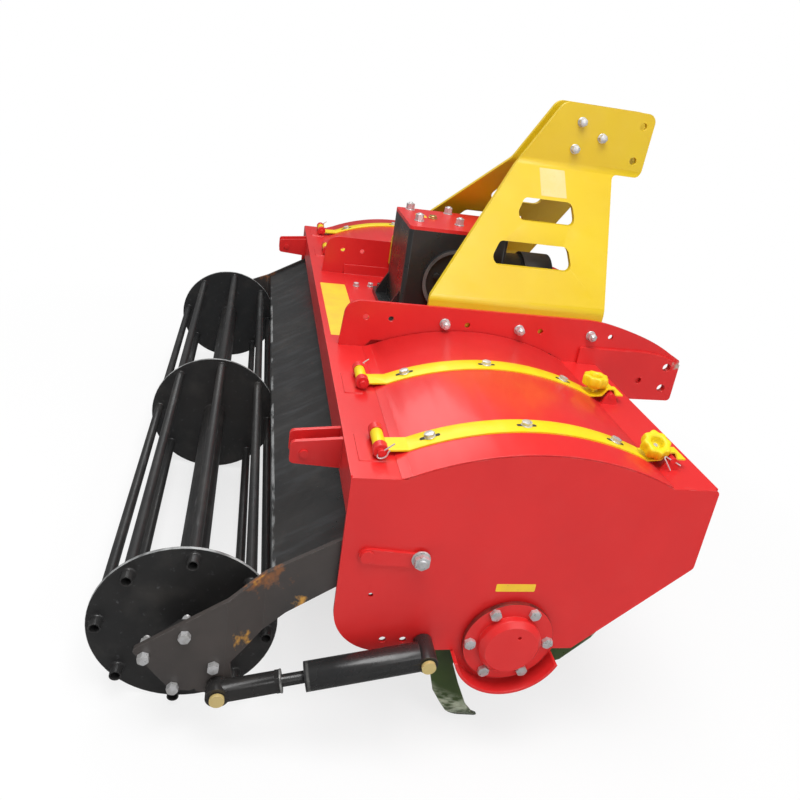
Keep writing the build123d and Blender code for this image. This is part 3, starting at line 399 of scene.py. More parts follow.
# ---------------------------------------------------------------------------
# Blank labels. Printed film stuck on the mast, side plate, rear beam and
# gearbox lid, left without print here: a thin rounded sheet of vinyl.
# ---------------------------------------------------------------------------
def slab(shape, place, wide, deep, thick, corner, steps=5):
    """Adds a flat rounded plate that lies on place's XY."""
    centres = ((1, 1), (-1, 1), (-1, -1), (1, -1))
    edge = []
    for quarter, (right, up) in enumerate(centres):
        for step in range(steps):
            angle = pi / 2 * (quarter + step / (steps - 1))
            x = right * (wide / 2 - corner) + corner * cos(angle)
            y = up * (deep / 2 - corner) + corner * sin(angle)
            edge.append((x, y))
    lower = [shape.verts.new(place @ Vector((x, y, 0.0))) for x, y in edge]
    inset = 1 - thick / wide
    upper = [shape.verts.new(place @ Vector((x * inset, y * inset, thick))) for x, y in edge]
    for step in range(len(edge)):
        after = (step + 1) % len(edge)
        shape.faces.new((lower[step], lower[after], upper[after], upper[step]))
    shape.faces.new(lower[::-1])
    shape.faces.new(upper)


def vinyl(name, colour, faded):
    """Printed film: a flat colour, faded in patches, with specks of dirt."""
    material, tree, shader = finish(name, coat=0.1)
    shown = blend_colours(tree, band(tree, noise(tree, 12.0, 5.0), 0.4, 0.7), colour, faded)
    dirt = band(tree, noise(tree, 140.0, 6.0), 0.64, 0.72, 0.0, 0.5)
    shown = blend_colours(tree, dirt, shown, (0.25, 0.16, 0.08))
    tree.links.new(shown, shader.inputs["Base Color"])
    shader.inputs["Roughness"].default_value = 0.42
    coarsen(tree, shader, 60.0, 0.08, 0.001)
    return material


yellow_vinyl = vinyl("yellow_vinyl", (0.92, 0.62, 0.02), (0.85, 0.52, 0.03))
peach_vinyl = vinyl("peach_vinyl", (0.78, 0.56, 0.20), (0.76, 0.60, 0.28))
film, label_corner = 0.0004, 0.003
mast_slope, upward = (-0.749, 0.0, 0.663), (0.0, 0.0, 1.0)
deck_z, lid_z = 0.687, 1.024
# name, place, way it faces, width, depth, film
labels = (
    ("mast_label", (-0.092, -0.587, 1.2095), mast_slope, 0.092, 0.110, peach_vinyl),
    ("side_label", (-1.2, -0.278, 0.398), (-1.0, 0.0, 0.0), 0.100, 0.022, yellow_vinyl),
    ("deck_label", (-0.048, 0.0865, deck_z), upward, 0.566, 0.095, yellow_vinyl),
    ("lid_label", (0.030, -0.175, lid_z), upward, 0.050, 0.036, yellow_vinyl),
)
for name, place, toward, wide, deep, material in labels:
    shape = bmesh.new()
    slab(shape, aim(*place, toward), wide, deep, film, label_corner)
    piece(name, shape, material, "frame")

# ---------------------------------------------------------------------------
# Deck fittings. Flat steel pads are welded on the rear beam under the hinge
# lugs, and three small zinc-plated bolts stand on the centre deck.
# ---------------------------------------------------------------------------
pad_thickness, pad_corner, deck_bolt_size = 0.003, 0.002, 0.019
# X, Y, width, depth
pads = ((1.064, 0.100, 0.128, 0.060), (0.702, 0.105, 0.134, 0.050))
for side, sign in sides:
    shape = bmesh.new()
    for x, y, wide, deep in pads:
        slab(shape, aim(sign * x, y, deck_z), wide, deep, pad_thickness, pad_corner)
    piece(f"hinge_pads_{side}", shape, red_enamel, "frame")
deck_bolts = ((0.232, -0.005), (0.244, -0.062), (-0.331, -0.530))
bolts("deck_bolts", "frame", [((x, y, deck_z), upward) for x, y in deck_bolts], deck_bolt_size)

# ---------------------------------------------------------------------------
# Covers and straps. A folded hem closes each cover's rear seam. Each arched bar
# has three low bolts in slots whose shade is painted as a thin near-black film, a hinge pin
# in two red sleeves, and a cast yellow star knob, hollow round its zinc stud; the outer knob leans outboard.
# ---------------------------------------------------------------------------
arch_radius, arch_y, arch_z = 0.7511, -0.292, 0.0089
strap_rise, strap_half = 0.0085, 0.031
# place across the machine, lean of the knob in degrees, side on which the clips sit
strap_places = ((1.066, 27.0, 1), (0.694, 0.0, -1))
strap_bolt_rows, strap_bolt_size, strap_bolt_height = (-0.042, -0.270, -0.506), 0.0235, 0.0082
strap_washer = ((0.0142, 0.0), (0.0142, 0.0016), (0.0136, 0.0022))
slot_long, slot_wide, slot_thin, slot_corner = 0.050, 0.011, 0.0003, 0.0054
knob_y, knob_z, knob_lobes, knob_depth = -0.609, 0.7105, 8, 0.0026
hinge_y, hinge_z = 0.082, 0.711
sleeve_radius, sleeve_length, sleeve_gap, sleeve_chamfer = 0.0174, 0.024, 0.0012, 0.001
sleeve = (
    (sleeve_radius - sleeve_chamfer, 0.0),
    (sleeve_radius, sleeve_chamfer),
    (sleeve_radius, sleeve_length - sleeve_chamfer),
    (sleeve_radius - sleeve_chamfer, sleeve_length),
)
hinge_pin_tip = ((0.0085, 0.0), (0.0085, 0.008), (0.0072, 0.0092))
stud_start, stud_radius, stud_length, stud_pitch = 0.0290, 0.0060, 0.008, 0.0015


def on_arch(x, y):
    """A place on a strap's top, looking straight out of the arch."""
    lean = asin((y - arch_y) / arch_radius)
    reach = arch_radius + strap_rise
    return aim(x, arch_y + reach * sin(lean), arch_z + reach * cos(lean), (0.0, sin(lean), cos(lean)))


def knob(angle):
    """A star knob's outline at an angle: narrow neck, fat lobes and a deep round hollow."""
    lobe = cos(knob_lobes * angle) + 0.25 * cos(3 * angle + 1.0) + 0.15 * sin(5 * angle)
    # radius, height, share of the lobes' depth
    neck = ((0.0145, 0.0062, 0.0), (0.0145, 0.0110, 0.0), (0.0262, 0.0160, 0.4), (0.0340, 0.0208, 0.9))
    head = ((0.0358, 0.0280, 1.0), (0.0358, 0.0380, 1.0), (0.0346, 0.0452, 1.0), (0.0328, 0.0486, 0.9))
    rim = ((0.0270, 0.0500, 0.5), (0.0222, 0.0496, 0.2), (0.0186, 0.0484, 0.0))
    hollow = ((0.0166, 0.0440, 0.0), (0.0150, 0.0370, 0.0), (0.0136, 0.0320, 0.0), (0.0100, 0.0290, 0.0))
    profile = neck + head + rim + hollow
    return [(radius + knob_depth * share * lobe, height) for radius, height, share in profile]


def strip(shape, profile, start, end):
    """Adds a closed profile of Y and Z points, drawn out along X from start to end."""
    ends = [[shape.verts.new(spot(x, y, z)) for y, z in profile] for x in (start, end)]
    for step in range(len(profile)):
        after = (step + 1) % len(profile)
        shape.faces.new((ends[0][step], ends[0][after], ends[1][after], ends[1][step]))
    shape.faces.new(ends[0][::-1])
    shape.faces.new(ends[1])


# painted shade: a near-black film lies on each strap over its slots, with a little dust in it
slot_shade, slot_tree, slot_shader = finish("slot_shadow")
slot_shader.inputs["Roughness"].default_value = 0.6
dust_on_slot_shade = band(slot_tree, noise(slot_tree, 90.0), 0.3, 0.7)
slot_shade_tone = blend_colours(slot_tree, dust_on_slot_shade, (0.012, 0.012, 0.012), (0.05, 0.045, 0.04))
slot_tree.links.new(slot_shade_tone, slot_shader.inputs["Base Color"])
# the folded hem's corners, Y and Z
hem = ((0.020, 0.6972), (0.0285, 0.6934), (0.043, 0.6886), (0.043, 0.6874), (0.031, 0.6905), (0.020, 0.6955))
cover_inside, cover_outside = 0.4185, 1.2
for side, sign in sides:
    shape = bmesh.new()
    strip(shape, hem, sign * cover_inside, sign * cover_outside)
    piece(f"cover_hem_{side}", shape, red_enamel, f"cover_{side}")
    heads, slot_shadows, sleeves, knobs, studs = (bmesh.new() for part in range(5))
    for x, lean, out in strap_places:
        for row, y in enumerate(strap_bolt_rows):
            seat = on_arch(sign * x, y) @ Matrix.Rotation(radians(17.0 * row), 4, "Z")
            formed(heads, seat, strap_washer)
            on_washer = seat @ Matrix.Translation((0.0, 0.0, strap_washer[-1][1]))
            formed(heads, on_washer, hexagon(strap_bolt_size, strap_bolt_height))
            lengthwise = on_arch(sign * x, y) @ Matrix.Rotation(pi / 2, 4, "Z")
            slab(slot_shadows, lengthwise, slot_long, slot_wide, slot_thin, slot_corner, 8)
        for end in (-1, 1):
            start = aim(sign * x + end * (strap_half + sleeve_gap), hinge_y, hinge_z, (end, 0, 0))
            formed(sleeves, start, sleeve, 32)
            formed(sleeves, start @ Matrix.Translation((0.0, 0.0, sleeve_length)), hinge_pin_tip)
        tilt = radians(lean)
        foot = aim(sign * x, knob_y, knob_z, (sign * sin(tilt), 0.0, cos(tilt)))
        formed(knobs, foot, knob, 64)
        stud_foot = foot @ Matrix.Translation((0.0, 0.0, stud_start))
        threaded(studs, stud_foot, stud_radius, stud_length, stud_pitch)
    piece(f"strap_bolts_{side}", heads, zinc, f"cover_{side}")
    piece(f"strap_slot_shadows_{side}", slot_shadows, slot_shade, f"cover_{side}")
    piece(f"hinge_sleeves_{side}", sleeves, red_enamel, "frame")
    piece(f"knobs_{side}", knobs, strap_enamel, f"cover_{side}", crease=60.0)
    piece(f"knob_studs_{side}", studs, zinc, f"cover_{side}")

# ---------------------------------------------------------------------------
# Spring clips. A bright bent wire goes straight through the end of each pin.
# Its other leg is snapped round the hinge pins and hangs free at the catches.
# ---------------------------------------------------------------------------
# each bend of the wire: along the straight leg, beside it, out along the pin
hung_clip = (
    (0.027, 0.0, 0.0),
    (0.0, 0.0, 0.0),
    (-0.020, 0.0, 0.0),
    (-0.0275, 0.0012, 0.001),
    (-0.0290, -0.0040, 0.003),
    (-0.0230, -0.0068, 0.005),
    (-0.0120, -0.0130, 0.007),
    (0.0038, -0.0215, 0.009),
)
closed_clip = (
    (0.036, 0.0, 0.0),
    (0.0, 0.0, 0.0),
    (-0.0080, 0.0, 0.0),
    (-0.0135, -0.0015, 0.001),
    (-0.0128, -0.0080, 0.003),
    (-0.0040, -0.0125, 0.005),
    (0.0070, -0.0120, 0.006),
    (0.0125, -0.0060, 0.006),
    (0.0190, -0.0045, 0.006),
)
clip_wire = 0.0019
catch_y, catch_z = -0.651, 0.713
# the pin's Y and Z, how far out on it the clip sits, the clip's turn in degrees, its bends
clip_places = (
    (hinge_y, hinge_z, 0.0600, 140.0, closed_clip),
    (catch_y, catch_z, 0.0425, 206.0, hung_clip),
)
spring_wire = plated("spring_wire", (0.80, 0.80, 0.80), (0.66, 0.66, 0.64), roughness=0.30, metallic=0.5)
for side, sign in sides:
    curve = bpy.data.curves.new(f"spring_clips_{side}", "CURVE")
    curve.dimensions = "3D"
    curve.bevel_depth = clip_wire
    curve.bevel_resolution = 2
    curve.resolution_u = 5
    for x, lean, out in strap_places:
        for pin_y, pin_z, reach, turn, clip_line in clip_places:
            ahead, up = cos(radians(turn)), sin(radians(turn))
            line = curve.splines.new("NURBS")
            line.points.add(len(clip_line) - 1)
            for point, (u, v, away) in zip(line.points, clip_line):
                y = pin_y + ahead * u + up * v
                z = pin_z + up * u - ahead * v
                point.co = (*spot(sign * (x + out * (reach + away)), y, z), 1.0)
            line.order_u = 3
            line.use_endpoint_u = True
    curve.materials.append(spring_wire)
    clips = bpy.data.objects.new(f"spring_clips_{side}", curve)
    bpy.context.scene.collection.objects.link(clips)
    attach(clips, "frame")

# ---------------------------------------------------------------------------
# Gearbox. A black cast case with bearing covers whose raised rings are rubbed
# grey, a red lid held by four tall bolts with a slotted brass filler plug, and
# bolts round its foot, its covers and the input housing.
# ---------------------------------------------------------------------------
def shell_band(tree, place, inner, outer):
    """1 between two distances from the line along X through a place."""
    distance = from_axis(tree, place)
    above = combine(tree, "GREATER_THAN", distance, inner)
    return combine(tree, "MULTIPLY", above, combine(tree, "LESS_THAN", distance, outer))


def rubbed_ring(tree):
    """The bearing covers' rings, rubbed through to grey."""
    share = shell_band(tree, spot(0, rotor_y, shaft_z), ring_inner, ring_outer)
    rubbed = band(tree, noise(tree, 22.0, 5.0), 0.3, 0.6, 0.35, 0.9)
    return combine(tree, "MULTIPLY", share, rubbed), rubbed_grey


shaft_z, case_half = 0.847, 0.155
ring_inner, ring_outer, rubbed_grey = 0.0995, 0.1127, (0.17, 0.165, 0.16)
black_tones = dict(
    colour=(0.020, 0.021, 0.022),
    shade=(0.028, 0.026, 0.025),
    dust=(0.10, 0.09, 0.08),
    bare=(0.24, 0.23, 0.22),
)
black_enamel = enamel("black_enamel", **black_tones, gloss=0.30)
cast_enamel = enamel("cast_black_enamel", **black_tones, gloss=0.40, marks=(rubbed_ring,))
dress(black_enamel, "gearcase", "drive_leg", "input_housing", *pair("roller_bearing"))
dress(cast_enamel, "bearing_covers")
lid_bolt_size = 0.026
lid_bolts = [((x, y, lid_z), upward) for x in (-0.062, 0.125) for y in (-0.152, -0.294)]
bolts("lid_bolts", "frame", lid_bolts, lid_bolt_size, stud=0.004, tall=0.8)
plug_x, plug_y, plug_height = 0.006, -0.213, 0.011
plug = ((0.0165, 0.0), (0.0165, 0.003), (0.0135, 0.0042), (0.0135, 0.009), (0.0115, plug_height))
screwdriver_slot = dict(wide=0.022, deep=0.0035, thick=0.0015, corner=0.0012, steps=3)
shape = bmesh.new()
formed(shape, aim(plug_x, plug_y, lid_z), plug)
slab(shape, aim(plug_x, plug_y, lid_z + plug_height, turn=70.0), **screwdriver_slot)
brass = plated("brass", brass_colour, tarnish=(0.36, 0.25, 0.10), roughness=0.28)
piece("filler_plug", shape, brass, "frame")
cover_face, cover_bolt_circle, cover_bolt_size = case_half + 0.0045, 0.070, 0.019
foot_x, foot_z, foot_rows, foot_bolt_size = case_half + 0.023, 0.705, (-0.090, -0.190, -0.368, -0.468), 0.024
housing_y, housing_bolt_circle, housing_bolt_size = -0.468, 0.093, 0.016
shape = bmesh.new()
for side, sign in sides:
    for turn in range(0, 360, 60):
        y = rotor_y + cover_bolt_circle * cos(radians(turn + 15))
        z = shaft_z + cover_bolt_circle * sin(radians(turn + 15))
        on_cover = aim(sign * cover_face, y, z, (sign, 0, 0), 11.0 * turn)
        bolt(shape, on_cover, cover_bolt_size, washer=False)
    for y in foot_rows:
        bolt(shape, aim(sign * foot_x, y, foot_z, turn=37.0 * sign + 100 * y), foot_bolt_size)
for turn in range(30, 390, 60):
    x = housing_bolt_circle * cos(radians(turn))
    z = shaft_z + housing_bolt_circle * sin(radians(turn))
    bolt(shape, aim(x, housing_y, z, (0, -1, 0), turn), housing_bolt_size, washer=False)
piece("gearbox_bolts", shape, black_enamel, "frame")

# ---------------------------------------------------------------------------
# Input shaft. The splined stub is bare machined steel with a little grease,
# inside a moulded black guard with rings round its wall.
# ---------------------------------------------------------------------------
machined = plated("machined_steel", (0.50, 0.49, 0.47), (0.30, 0.27, 0.23), roughness=0.30, metallic=0.9)
dress(machined, "pto_shaft", rounding=0.0005)
moulded, moulded_tree, moulded_shader = finish("moulded_plastic")
dusty = band(moulded_tree, noise(moulded_tree, 16.0, 6.0), 0.45, 0.75)
tone = blend_colours(moulded_tree, dusty, (0.022, 0.022, 0.023), (0.055, 0.050, 0.045))
moulded_tree.links.new(tone, moulded_shader.inputs["Base Color"])
moulded_tree.links.new(band(moulded_tree, dusty, 0.0, 1.0, 0.5, 0.7), moulded_shader.inputs["Roughness"])
coarsen(moulded_tree, moulded_shader, 700.0, 0.2, 0.0005)
dress(moulded, "pto_guard", rounding=0.0008)

# ---------------------------------------------------------------------------
# Rotor. Blades forged from spring steel and dipped in dark green enamel, with
# two bolts each through their flanges; soil has polished them at the bend, and a painted highlight brightens
# the same bend.
# ---------------------------------------------------------------------------
def soil_polish_and_highlight(tree):
    """Bright streaks along the blades where they bend: soil polish, and a painted highlight on the bend."""
    distance = from_axis(tree, spot(0, rotor_y, rotor_z))
    # the pale streaks are partly soil polish and partly a painted highlight along the bend
    before_tip = band(tree, distance, 0.300, 0.318, 1.0, 0.0)
    reached = combine(tree, "MULTIPLY", band(tree, distance, 0.225, 0.262), before_tip)
    streaks = band(tree, noise(tree, 30.0, 6.0, (0.5, 1.0, 2.2)), 0.42, 0.60)
    return combine(tree, "MULTIPLY", reached, streaks), (0.42, 0.46, 0.34)


blade_enamel = enamel(
    "blade_enamel",
    colour=(0.030, 0.054, 0.011),
    shade=(0.046, 0.078, 0.016),
    dust=(0.10, 0.11, 0.05),
    bare=(0.30, 0.32, 0.26),
    gloss=0.30,
    marks=(soil_polish_and_highlight,),
)
dress(blade_enamel, *pair("rotor"))
flanges, first_flange, last_flange, flange_half = 5, 1.160, 0.107, 0.006
blade_offset, bolt_offset, blade_bolt_size, head_height, nut_height = 0.010, 0.014, 0.022, 0.009, 0.011
blade_bolt_spots = ((0.095, 0.012), (0.104, -0.015))
# how far ahead of the tip, how far below the axis, share of the side bend, lean of the cut, width
blade_line = (
    (0.090, -0.027, 0.0, -70.0, 0.060),
    (0.124, 0.040, 0.0, -80.0, 0.064),
    (0.133, 0.120, 0.0, -88.0, 0.066),
    (0.098, 0.200, 0.0, -112.0, 0.068),
    (0.062, 0.256, 0.0, -90.0, 0.070),
    (0.034, 0.292, 0.3, -90.0, 0.074),
    (0.0107, 0.318, 0.779, -90.0, 0.080),
    (0.000, 0.330, 1.0, -90.0, 0.060),
)
blade_half, blade_bend, ground_edge, eased = 0.0047, 0.040, 0.009, 0.001


def blade(shape, place, bend):
    """Adds one blade, tip down along place's -Z, ground to an edge in front."""
    rings = []
    for ahead, down, share, lean, width in blade_line:
        half = width / 2
        outline = (
            (blade_half, half - ground_edge),
            (eased, half),
            (-eased, half),
            (-blade_half, half - ground_edge),
            (-blade_half, eased - half),
            (eased - blade_half, -half),
            (blade_half - eased, -half),
            (blade_half, eased - half),
        )
        ring = []
        for across, along_cut in outline:
            y = ahead - along_cut * sin(radians(lean))
            z = -down + along_cut * cos(radians(lean))
            ring.append(shape.verts.new(place @ Vector((bend * share + across, y, z))))
        rings.append(ring)
    for ring, after in zip(rings, rings[1:]):
        for step in range(len(ring)):
            beside = (step + 1) % len(ring)
            shape.faces.new((ring[step], ring[beside], after[beside], after[step]))
    shape.faces.new(rings[0][::-1])
    shape.faces.new(rings[-1])


for side, sign in sides:
    shape, blades = bmesh.new(), bmesh.new()
    for row in range(flanges):
        flange_x = first_flange + (last_flange - first_flange) * row / (flanges - 1)
        for place in range(0, 6, 2 if row in (0, flanges - 1) else 1):
            face = 1 if place % 2 == 0 else -1
            turn = Matrix.Rotation(radians(12.0 * row + 60.0 * place) - slope, 4, "X")
            centre = (sign * (flange_x + face * blade_offset), rotor_y, rotor_z)
            root = stance @ Matrix.Translation(centre) @ turn
            blade(blades, root, sign * blade_bend * (face if row else -1))
            for ahead, up in blade_bolt_spots:
                at = turn @ Vector((0.0, ahead, up))
                y, z = rotor_y + at.y, rotor_z + at.z
                head = aim(sign * (flange_x + face * bolt_offset), y, z, (sign * face, 0, 0), 40.0 * place)
                nut = aim(sign * (flange_x - face * flange_half), y, z, (-sign * face, 0, 0), 25.0 * place)
                formed(shape, head, hexagon(blade_bolt_size, head_height), 12)
                formed(shape, nut, hexagon(blade_bolt_size, nut_height), 12)
    piece(f"blade_bolts_{side}", shape, zinc, "rotor")
    piece(f"blades_{side}", blades, blade_enamel, "rotor", crease=28.0)

# ---------------------------------------------------------------------------
# Roller arms and tail board. Thick cut plate in thin dark paint over brown
# mill scale, with ochre rust blooms at the joggle and lower edge; the board
# between them is black and streaked, its lip scraped bright.
# ---------------------------------------------------------------------------
def specks(tree):
    """Pale spatter."""
    return band(tree, noise(tree, 240.0, 2.0), 0.76, 0.80, 0.0, 0.7), (0.45, 0.42, 0.38)


def lip_scrapes(tree):
    """Scrapes along the board's lip."""
    below = combine(tree, "LESS_THAN", along(tree, 2), spot(0, lip_y, lip_top).z)
    above = combine(tree, "GREATER_THAN", along(tree, 2), spot(0, lip_y, lip_foot).z)
    scraped = band(tree, noise(tree, 26.0, 6.0, (0.25, 1.0, 1.0)), 0.50, 0.60, 0.0, 0.75)
    return combine(tree, "MULTIPLY", combine(tree, "MULTIPLY", below, above), scraped), (0.34, 0.35, 0.35)


def rain_streaks(tree):
    """Long dull runs down the board."""
    return band(tree, noise(tree, 9.0, 6.0, (3.0, 0.6, 0.6)), 0.50, 0.72, 0.0, 0.55), (0.060, 0.064, 0.068)


lip_y, lip_top, lip_foot = 0.295, 0.424, 0.404
scale_tones = dict(
    colour=(0.045, 0.042, 0.041),
    shade=(0.072, 0.060, 0.055),
    dust=(0.11, 0.09, 0.08),
    bare=(0.28, 0.27, 0.26),
)
ochre, rust = (0.62, 0.30, 0.04), (0.26, 0.10, 0.035)
arm_outside, bearing_inside, rear_pin_start = 1.226, 1.199, 1.2695
# place on the arm, radius, colour
rust_spots = (
    ((arm_outside, 0.342, 0.258), 0.042, ochre),
    ((1.214, 0.312, 0.425), 0.068, rust),
    ((1.212, 0.326, 0.440), 0.042, ochre),
    ((1.200, 0.232, 0.346), 0.032, ochre),
)
arm_marks = [specks, plated_beyond(rear_pin_start)]
for side, sign in sides:
    for (x, y, z), radius, colour in rust_spots:
        arm_marks.append(bloom(spot(sign * x, y, z), radius, colour))
arm_enamel = enamel("arm_enamel", **scale_tones, gloss=0.40, marks=arm_marks)
board_marks = (rain_streaks, specks, lip_scrapes)
board_enamel = enamel("board_enamel", **black_tones, gloss=0.34, dusty=0.3, marks=board_marks)
dress(arm_enamel, *pair("roller_arm"))
dress(board_enamel, "tail_board")
arm_bolts, arm_bolt_size = ((0.567, 0.227), (0.481, 0.285), (0.416, 0.196), (0.503, 0.138)), 0.024
for side, sign in sides:
    heads = [((sign * arm_outside, y, z), (sign, 0, 0)) for y, z in arm_bolts]
    nuts = [((sign * bearing_inside, y, z), (-sign, 0, 0)) for y, z in arm_bolts]
    bolts(f"arm_bolts_{side}", "roller_frame", heads, arm_bolt_size, washer=False, turn=9.0)
    bolts(f"arm_nuts_{side}", "roller_frame", nuts, arm_bolt_size, stud=0.012, tall=0.8)

# ---------------------------------------------------------------------------
# Roller. Open tubes welded through three plate discs on a thick axle tube,
# black enamel that has rubbed off the discs' rims and the tubes' tops.
# ---------------------------------------------------------------------------
roller_y, roller_z, roller_radius = 0.492, 0.219, 0.219
rim_skin, axle_radius = 0.0009, 0.038
tube_circle, tube_radius, tube_count, first_tube = 0.885 * roller_radius, 0.014, 8, 5.0
tube_bead, axle_bead = 0.004, 0.006
disc_faces, last_axle_face = (-1.118, -1.110, -0.004, 0.004, 1.110, 1.118), 1.115


def bare_rim(tree):
    """The discs' turned edges, rubbed bare."""
    distance = from_axis(tree, spot(0, roller_y, roller_z))
    edge = combine(tree, "GREATER_THAN", distance, roller_radius - rim_skin)
    rubbed = band(tree, noise(tree, 18.0, 5.0), 0.35, 0.6, 0.2, 1.0)
    return combine(tree, "MULTIPLY", edge, rubbed), (0.42, 0.43, 0.43)


def tube_scuffs(tree):
    """Fine long scuffs on the tubes and discs."""
    return band(tree, noise(tree, 60.0, 6.0, (0.12, 1.0, 1.0)), 0.62, 0.74, 0.0, 0.45), (0.16, 0.165, 0.17)


roller_enamel = enamel("roller_enamel", **black_tones, gloss=0.36, dusty=0.3, marks=(tube_scuffs, bare_rim))
dress(roller_enamel, "roller")


def weld_ring(shape, place, radius, bead, around=36):
    """A rippled weld bead round a tube, where it meets the plate under place's Z."""
    columns = []
    for step in range(around):
        angle = 2 * pi * step / around
        size = bead * (1.0 + 0.16 * sin(step * 2.1) + 0.08 * sin(step * 0.7))
        column = []
        for part in range(4):
            swing = pi / 2 * part / 3
            reach = radius + size * (1.0 - sin(swing)) * 1.05
            column.append(shape.verts.new(place @ turned(angle, reach, size * (1.0 - cos(swing)))))
        columns.append(column)
    for step, column in enumerate(columns):
        after = columns[(step + 1) % around]
        for part in range(3):
            shape.faces.new((column[part], after[part], after[part + 1], column[part + 1]))


shape = bmesh.new()
for number, x in enumerate(disc_faces):
    out = -1 if number % 2 == 0 else 1
    for tube in range(tube_count):
        angle = radians(first_tube + 360.0 / tube_count * tube)
        y = roller_y + tube_circle * cos(angle)
        z = roller_z + tube_circle * sin(angle)
        weld_ring(shape, aim(x, y, z, (out, 0, 0), 77.0 * tube), tube_radius, tube_bead)
    if abs(x) < last_axle_face:
        weld_ring(shape, aim(x, roller_y, roller_z, (out, 0, 0)), axle_radius, axle_bead, 60)
piece("roller_welds", shape, roller_enamel, "roller", crease=70.0)

# ---------------------------------------------------------------------------
# Adjusting links. Each is a gloss black steel barrel with a welded end and a
# threaded rod with a worn lock nut, hinged on yellow-plated pins.
# ---------------------------------------------------------------------------
link_front, link_rear, link_x = (-0.070, 0.240), (0.403, 0.142), 1.250
link_run = (Vector(link_rear) - Vector(link_front)).normalized()
link_start = spot(0.0, *link_front)
link_along = stance.to_3x3() @ Vector((0.0, *link_run))


def weld_seam_and_edge_highlight(tree):
    """A pale band where the barrel's end is welded on: partly the weld seam, partly a painted highlight on
    the end's edge.
    """
    reached = measure(tree, "DOT_PRODUCT", place_on(tree), link_along)
    distance = combine(tree, "SUBTRACT", reached, link_start.dot(link_along))
    before_end = band(tree, distance, 0.279, 0.281, 1.0, 0.0)
    seam = combine(tree, "MULTIPLY", band(tree, distance, 0.273, 0.275), before_end)
    scraped = band(tree, noise(tree, 70.0, 5.0), 0.3, 0.6, 0.3, 0.9)
    # the pale band stands partly for a weld seam and partly for a painted highlight on the barrel end's edge
    return combine(tree, "MULTIPLY", seam, scraped), (0.12, 0.12, 0.115)


link_black = enamel("link_enamel", **black_tones, gloss=0.24, dusty=0.12, marks=(weld_seam_and_edge_highlight,))
dress(link_black, *pair("link_barrel", "link_rod"))


def on_link(sign, distance):
    """A place on a link's centre line, looking along it to the rear."""
    y = link_front[0] + link_run[0] * distance
    z = link_front[1] + link_run[1] * distance
    return aim(sign * link_x, y, z, (0.0, link_run[0], link_run[1]))


worn_nut = plated("worn_nut", colour=(0.34, 0.34, 0.33), tarnish=(0.06, 0.06, 0.06), metallic=0.4)
thread_start, thread_radius, thread_length, thread_pitch = 0.2875, 0.0144, 0.048, 0.003
washer_start, link_washer = 0.3375, ((0.0262, 0.0), (0.0272, 0.001), (0.0272, 0.0035), (0.0262, 0.0045))
for side, sign in sides:
    shape = bmesh.new()
    threaded(shape, on_link(sign, thread_start), thread_radius, thread_length, thread_pitch)
    piece(f"link_thread_{side}", shape, link_black, f"link_rod_{side}")
    shape = bmesh.new()
    formed(shape, on_link(sign, washer_start), link_washer, 32)
    piece(f"link_washer_{side}", shape, worn_nut, f"link_rod_{side}")

# ---------------------------------------------------------------------------
# Camera, floor and soft studio light. The floor is plain and pale, keeps the
# machine's shadow, and fades to white away from it.
# ---------------------------------------------------------------------------
camera_data = bpy.data.cameras.new("camera")
camera = bpy.data.objects.new("camera", camera_data)
bpy.context.scene.collection.objects.link(camera)
camera.location = (-2.5904, 0.6707, 1.5270)
camera.rotation_euler = [radians(turn) for turn in (68.742, -14.499, -100.505)]
camera_data.lens = 34.08
camera_data.sensor_width = 36.0
camera_data.shift_x = -0.0223
camera_data.shift_y = -0.0347
bpy.context.scene.camera = camera

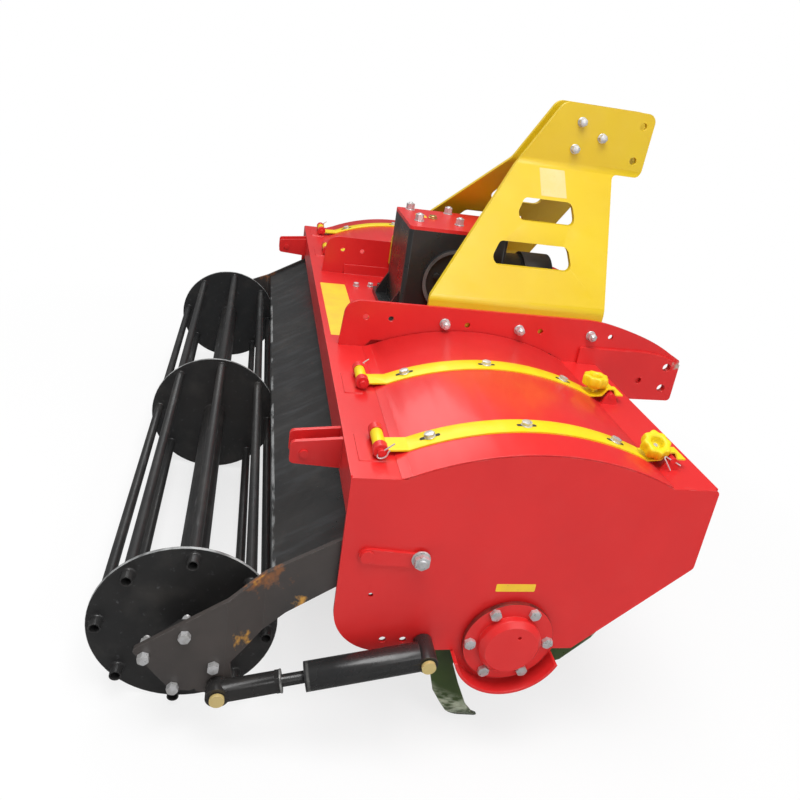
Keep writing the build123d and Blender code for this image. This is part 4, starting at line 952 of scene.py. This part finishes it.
reach = 60.0
corners = [(-reach, -reach, 0.0), (reach, -reach, 0.0), (reach, reach, 0.0), (-reach, reach, 0.0)]
floor_mesh = bpy.data.meshes.new("floor")
floor_mesh.from_pydata(corners, [], [(0, 1, 2, 3)])
floor = bpy.data.objects.new("floor", floor_mesh)
bpy.context.scene.collection.objects.link(floor)
floor.location.z = -0.001
mirrored = 0.16
pale, pale_tree, pale_shader = finish("pale_floor")
pale_shader.inputs["Base Color"].default_value = (0.86, 0.86, 0.86, 1.0)
pale_shader.inputs["Roughness"].default_value = 0.9
rays = node(pale_tree, "ShaderNodeLightPath")
away = measure(pale_tree, "LENGTH", place_on(pale_tree))
whiteness = band(pale_tree, away, 0.6, 2.4, 0.68, 1.0)
seen = combine(pale_tree, "MULTIPLY", rays.outputs["Is Camera Ray"], whiteness)
faded = combine(pale_tree, "MAXIMUM", seen, rays.outputs["Is Glossy Ray"])
level = band(pale_tree, rays.outputs["Is Glossy Ray"], 0.0, 1.0, 1.0, mirrored)
white = node(pale_tree, "ShaderNodeEmission", {"Color": (1.0, 1.0, 1.0, 1.0), "Strength": level})
layers = {0: faded, 1: pale_shader.outputs["BSDF"], 2: white.outputs["Emission"]}
mixed = node(pale_tree, "ShaderNodeMixShader", layers)
pale_tree.links.new(mixed.outputs["Shader"], pale_tree.nodes["Material Output"].inputs["Surface"])
floor_mesh.materials.append(pale)

world = bpy.data.worlds.new("studio")
bpy.context.scene.world = world
world.use_nodes = True
world_tree = world.node_tree
rays = node(world_tree, "ShaderNodeLightPath")
soft = band(world_tree, rays.outputs["Is Glossy Ray"], 0.0, 1.0, 0.36, mirrored)
level = combine(world_tree, "MAXIMUM", soft, rays.outputs["Is Camera Ray"])
world_tree.links.new(level, world_tree.nodes["Background"].inputs["Strength"])
world_tree.nodes["Background"].inputs["Color"].default_value = (1.0, 1.0, 1.0, 1.0)

lit_place, light_size = Vector((0.0, 0.0, 0.5)), 3.0
# name, place, power in watts
for name, place, power in (
    ("key", (-1.8, 0.8, 5.0), 200.0),
    ("fill", (-4.0, -1.5, 2.4), 48.0),
    ("rim", (2.6, 1.0, 4.2), 70.0),
):
    light_data = bpy.data.lights.new(name, "AREA")
    light_data.size = light_size
    light_data.energy = power
    light = bpy.data.objects.new(name, light_data)
    light.location = place
    light.rotation_euler = (lit_place - Vector(place)).to_track_quat("-Z", "Y").to_euler()
    bpy.context.scene.collection.objects.link(light)

bpy.context.scene.view_settings.view_transform = "Standard"
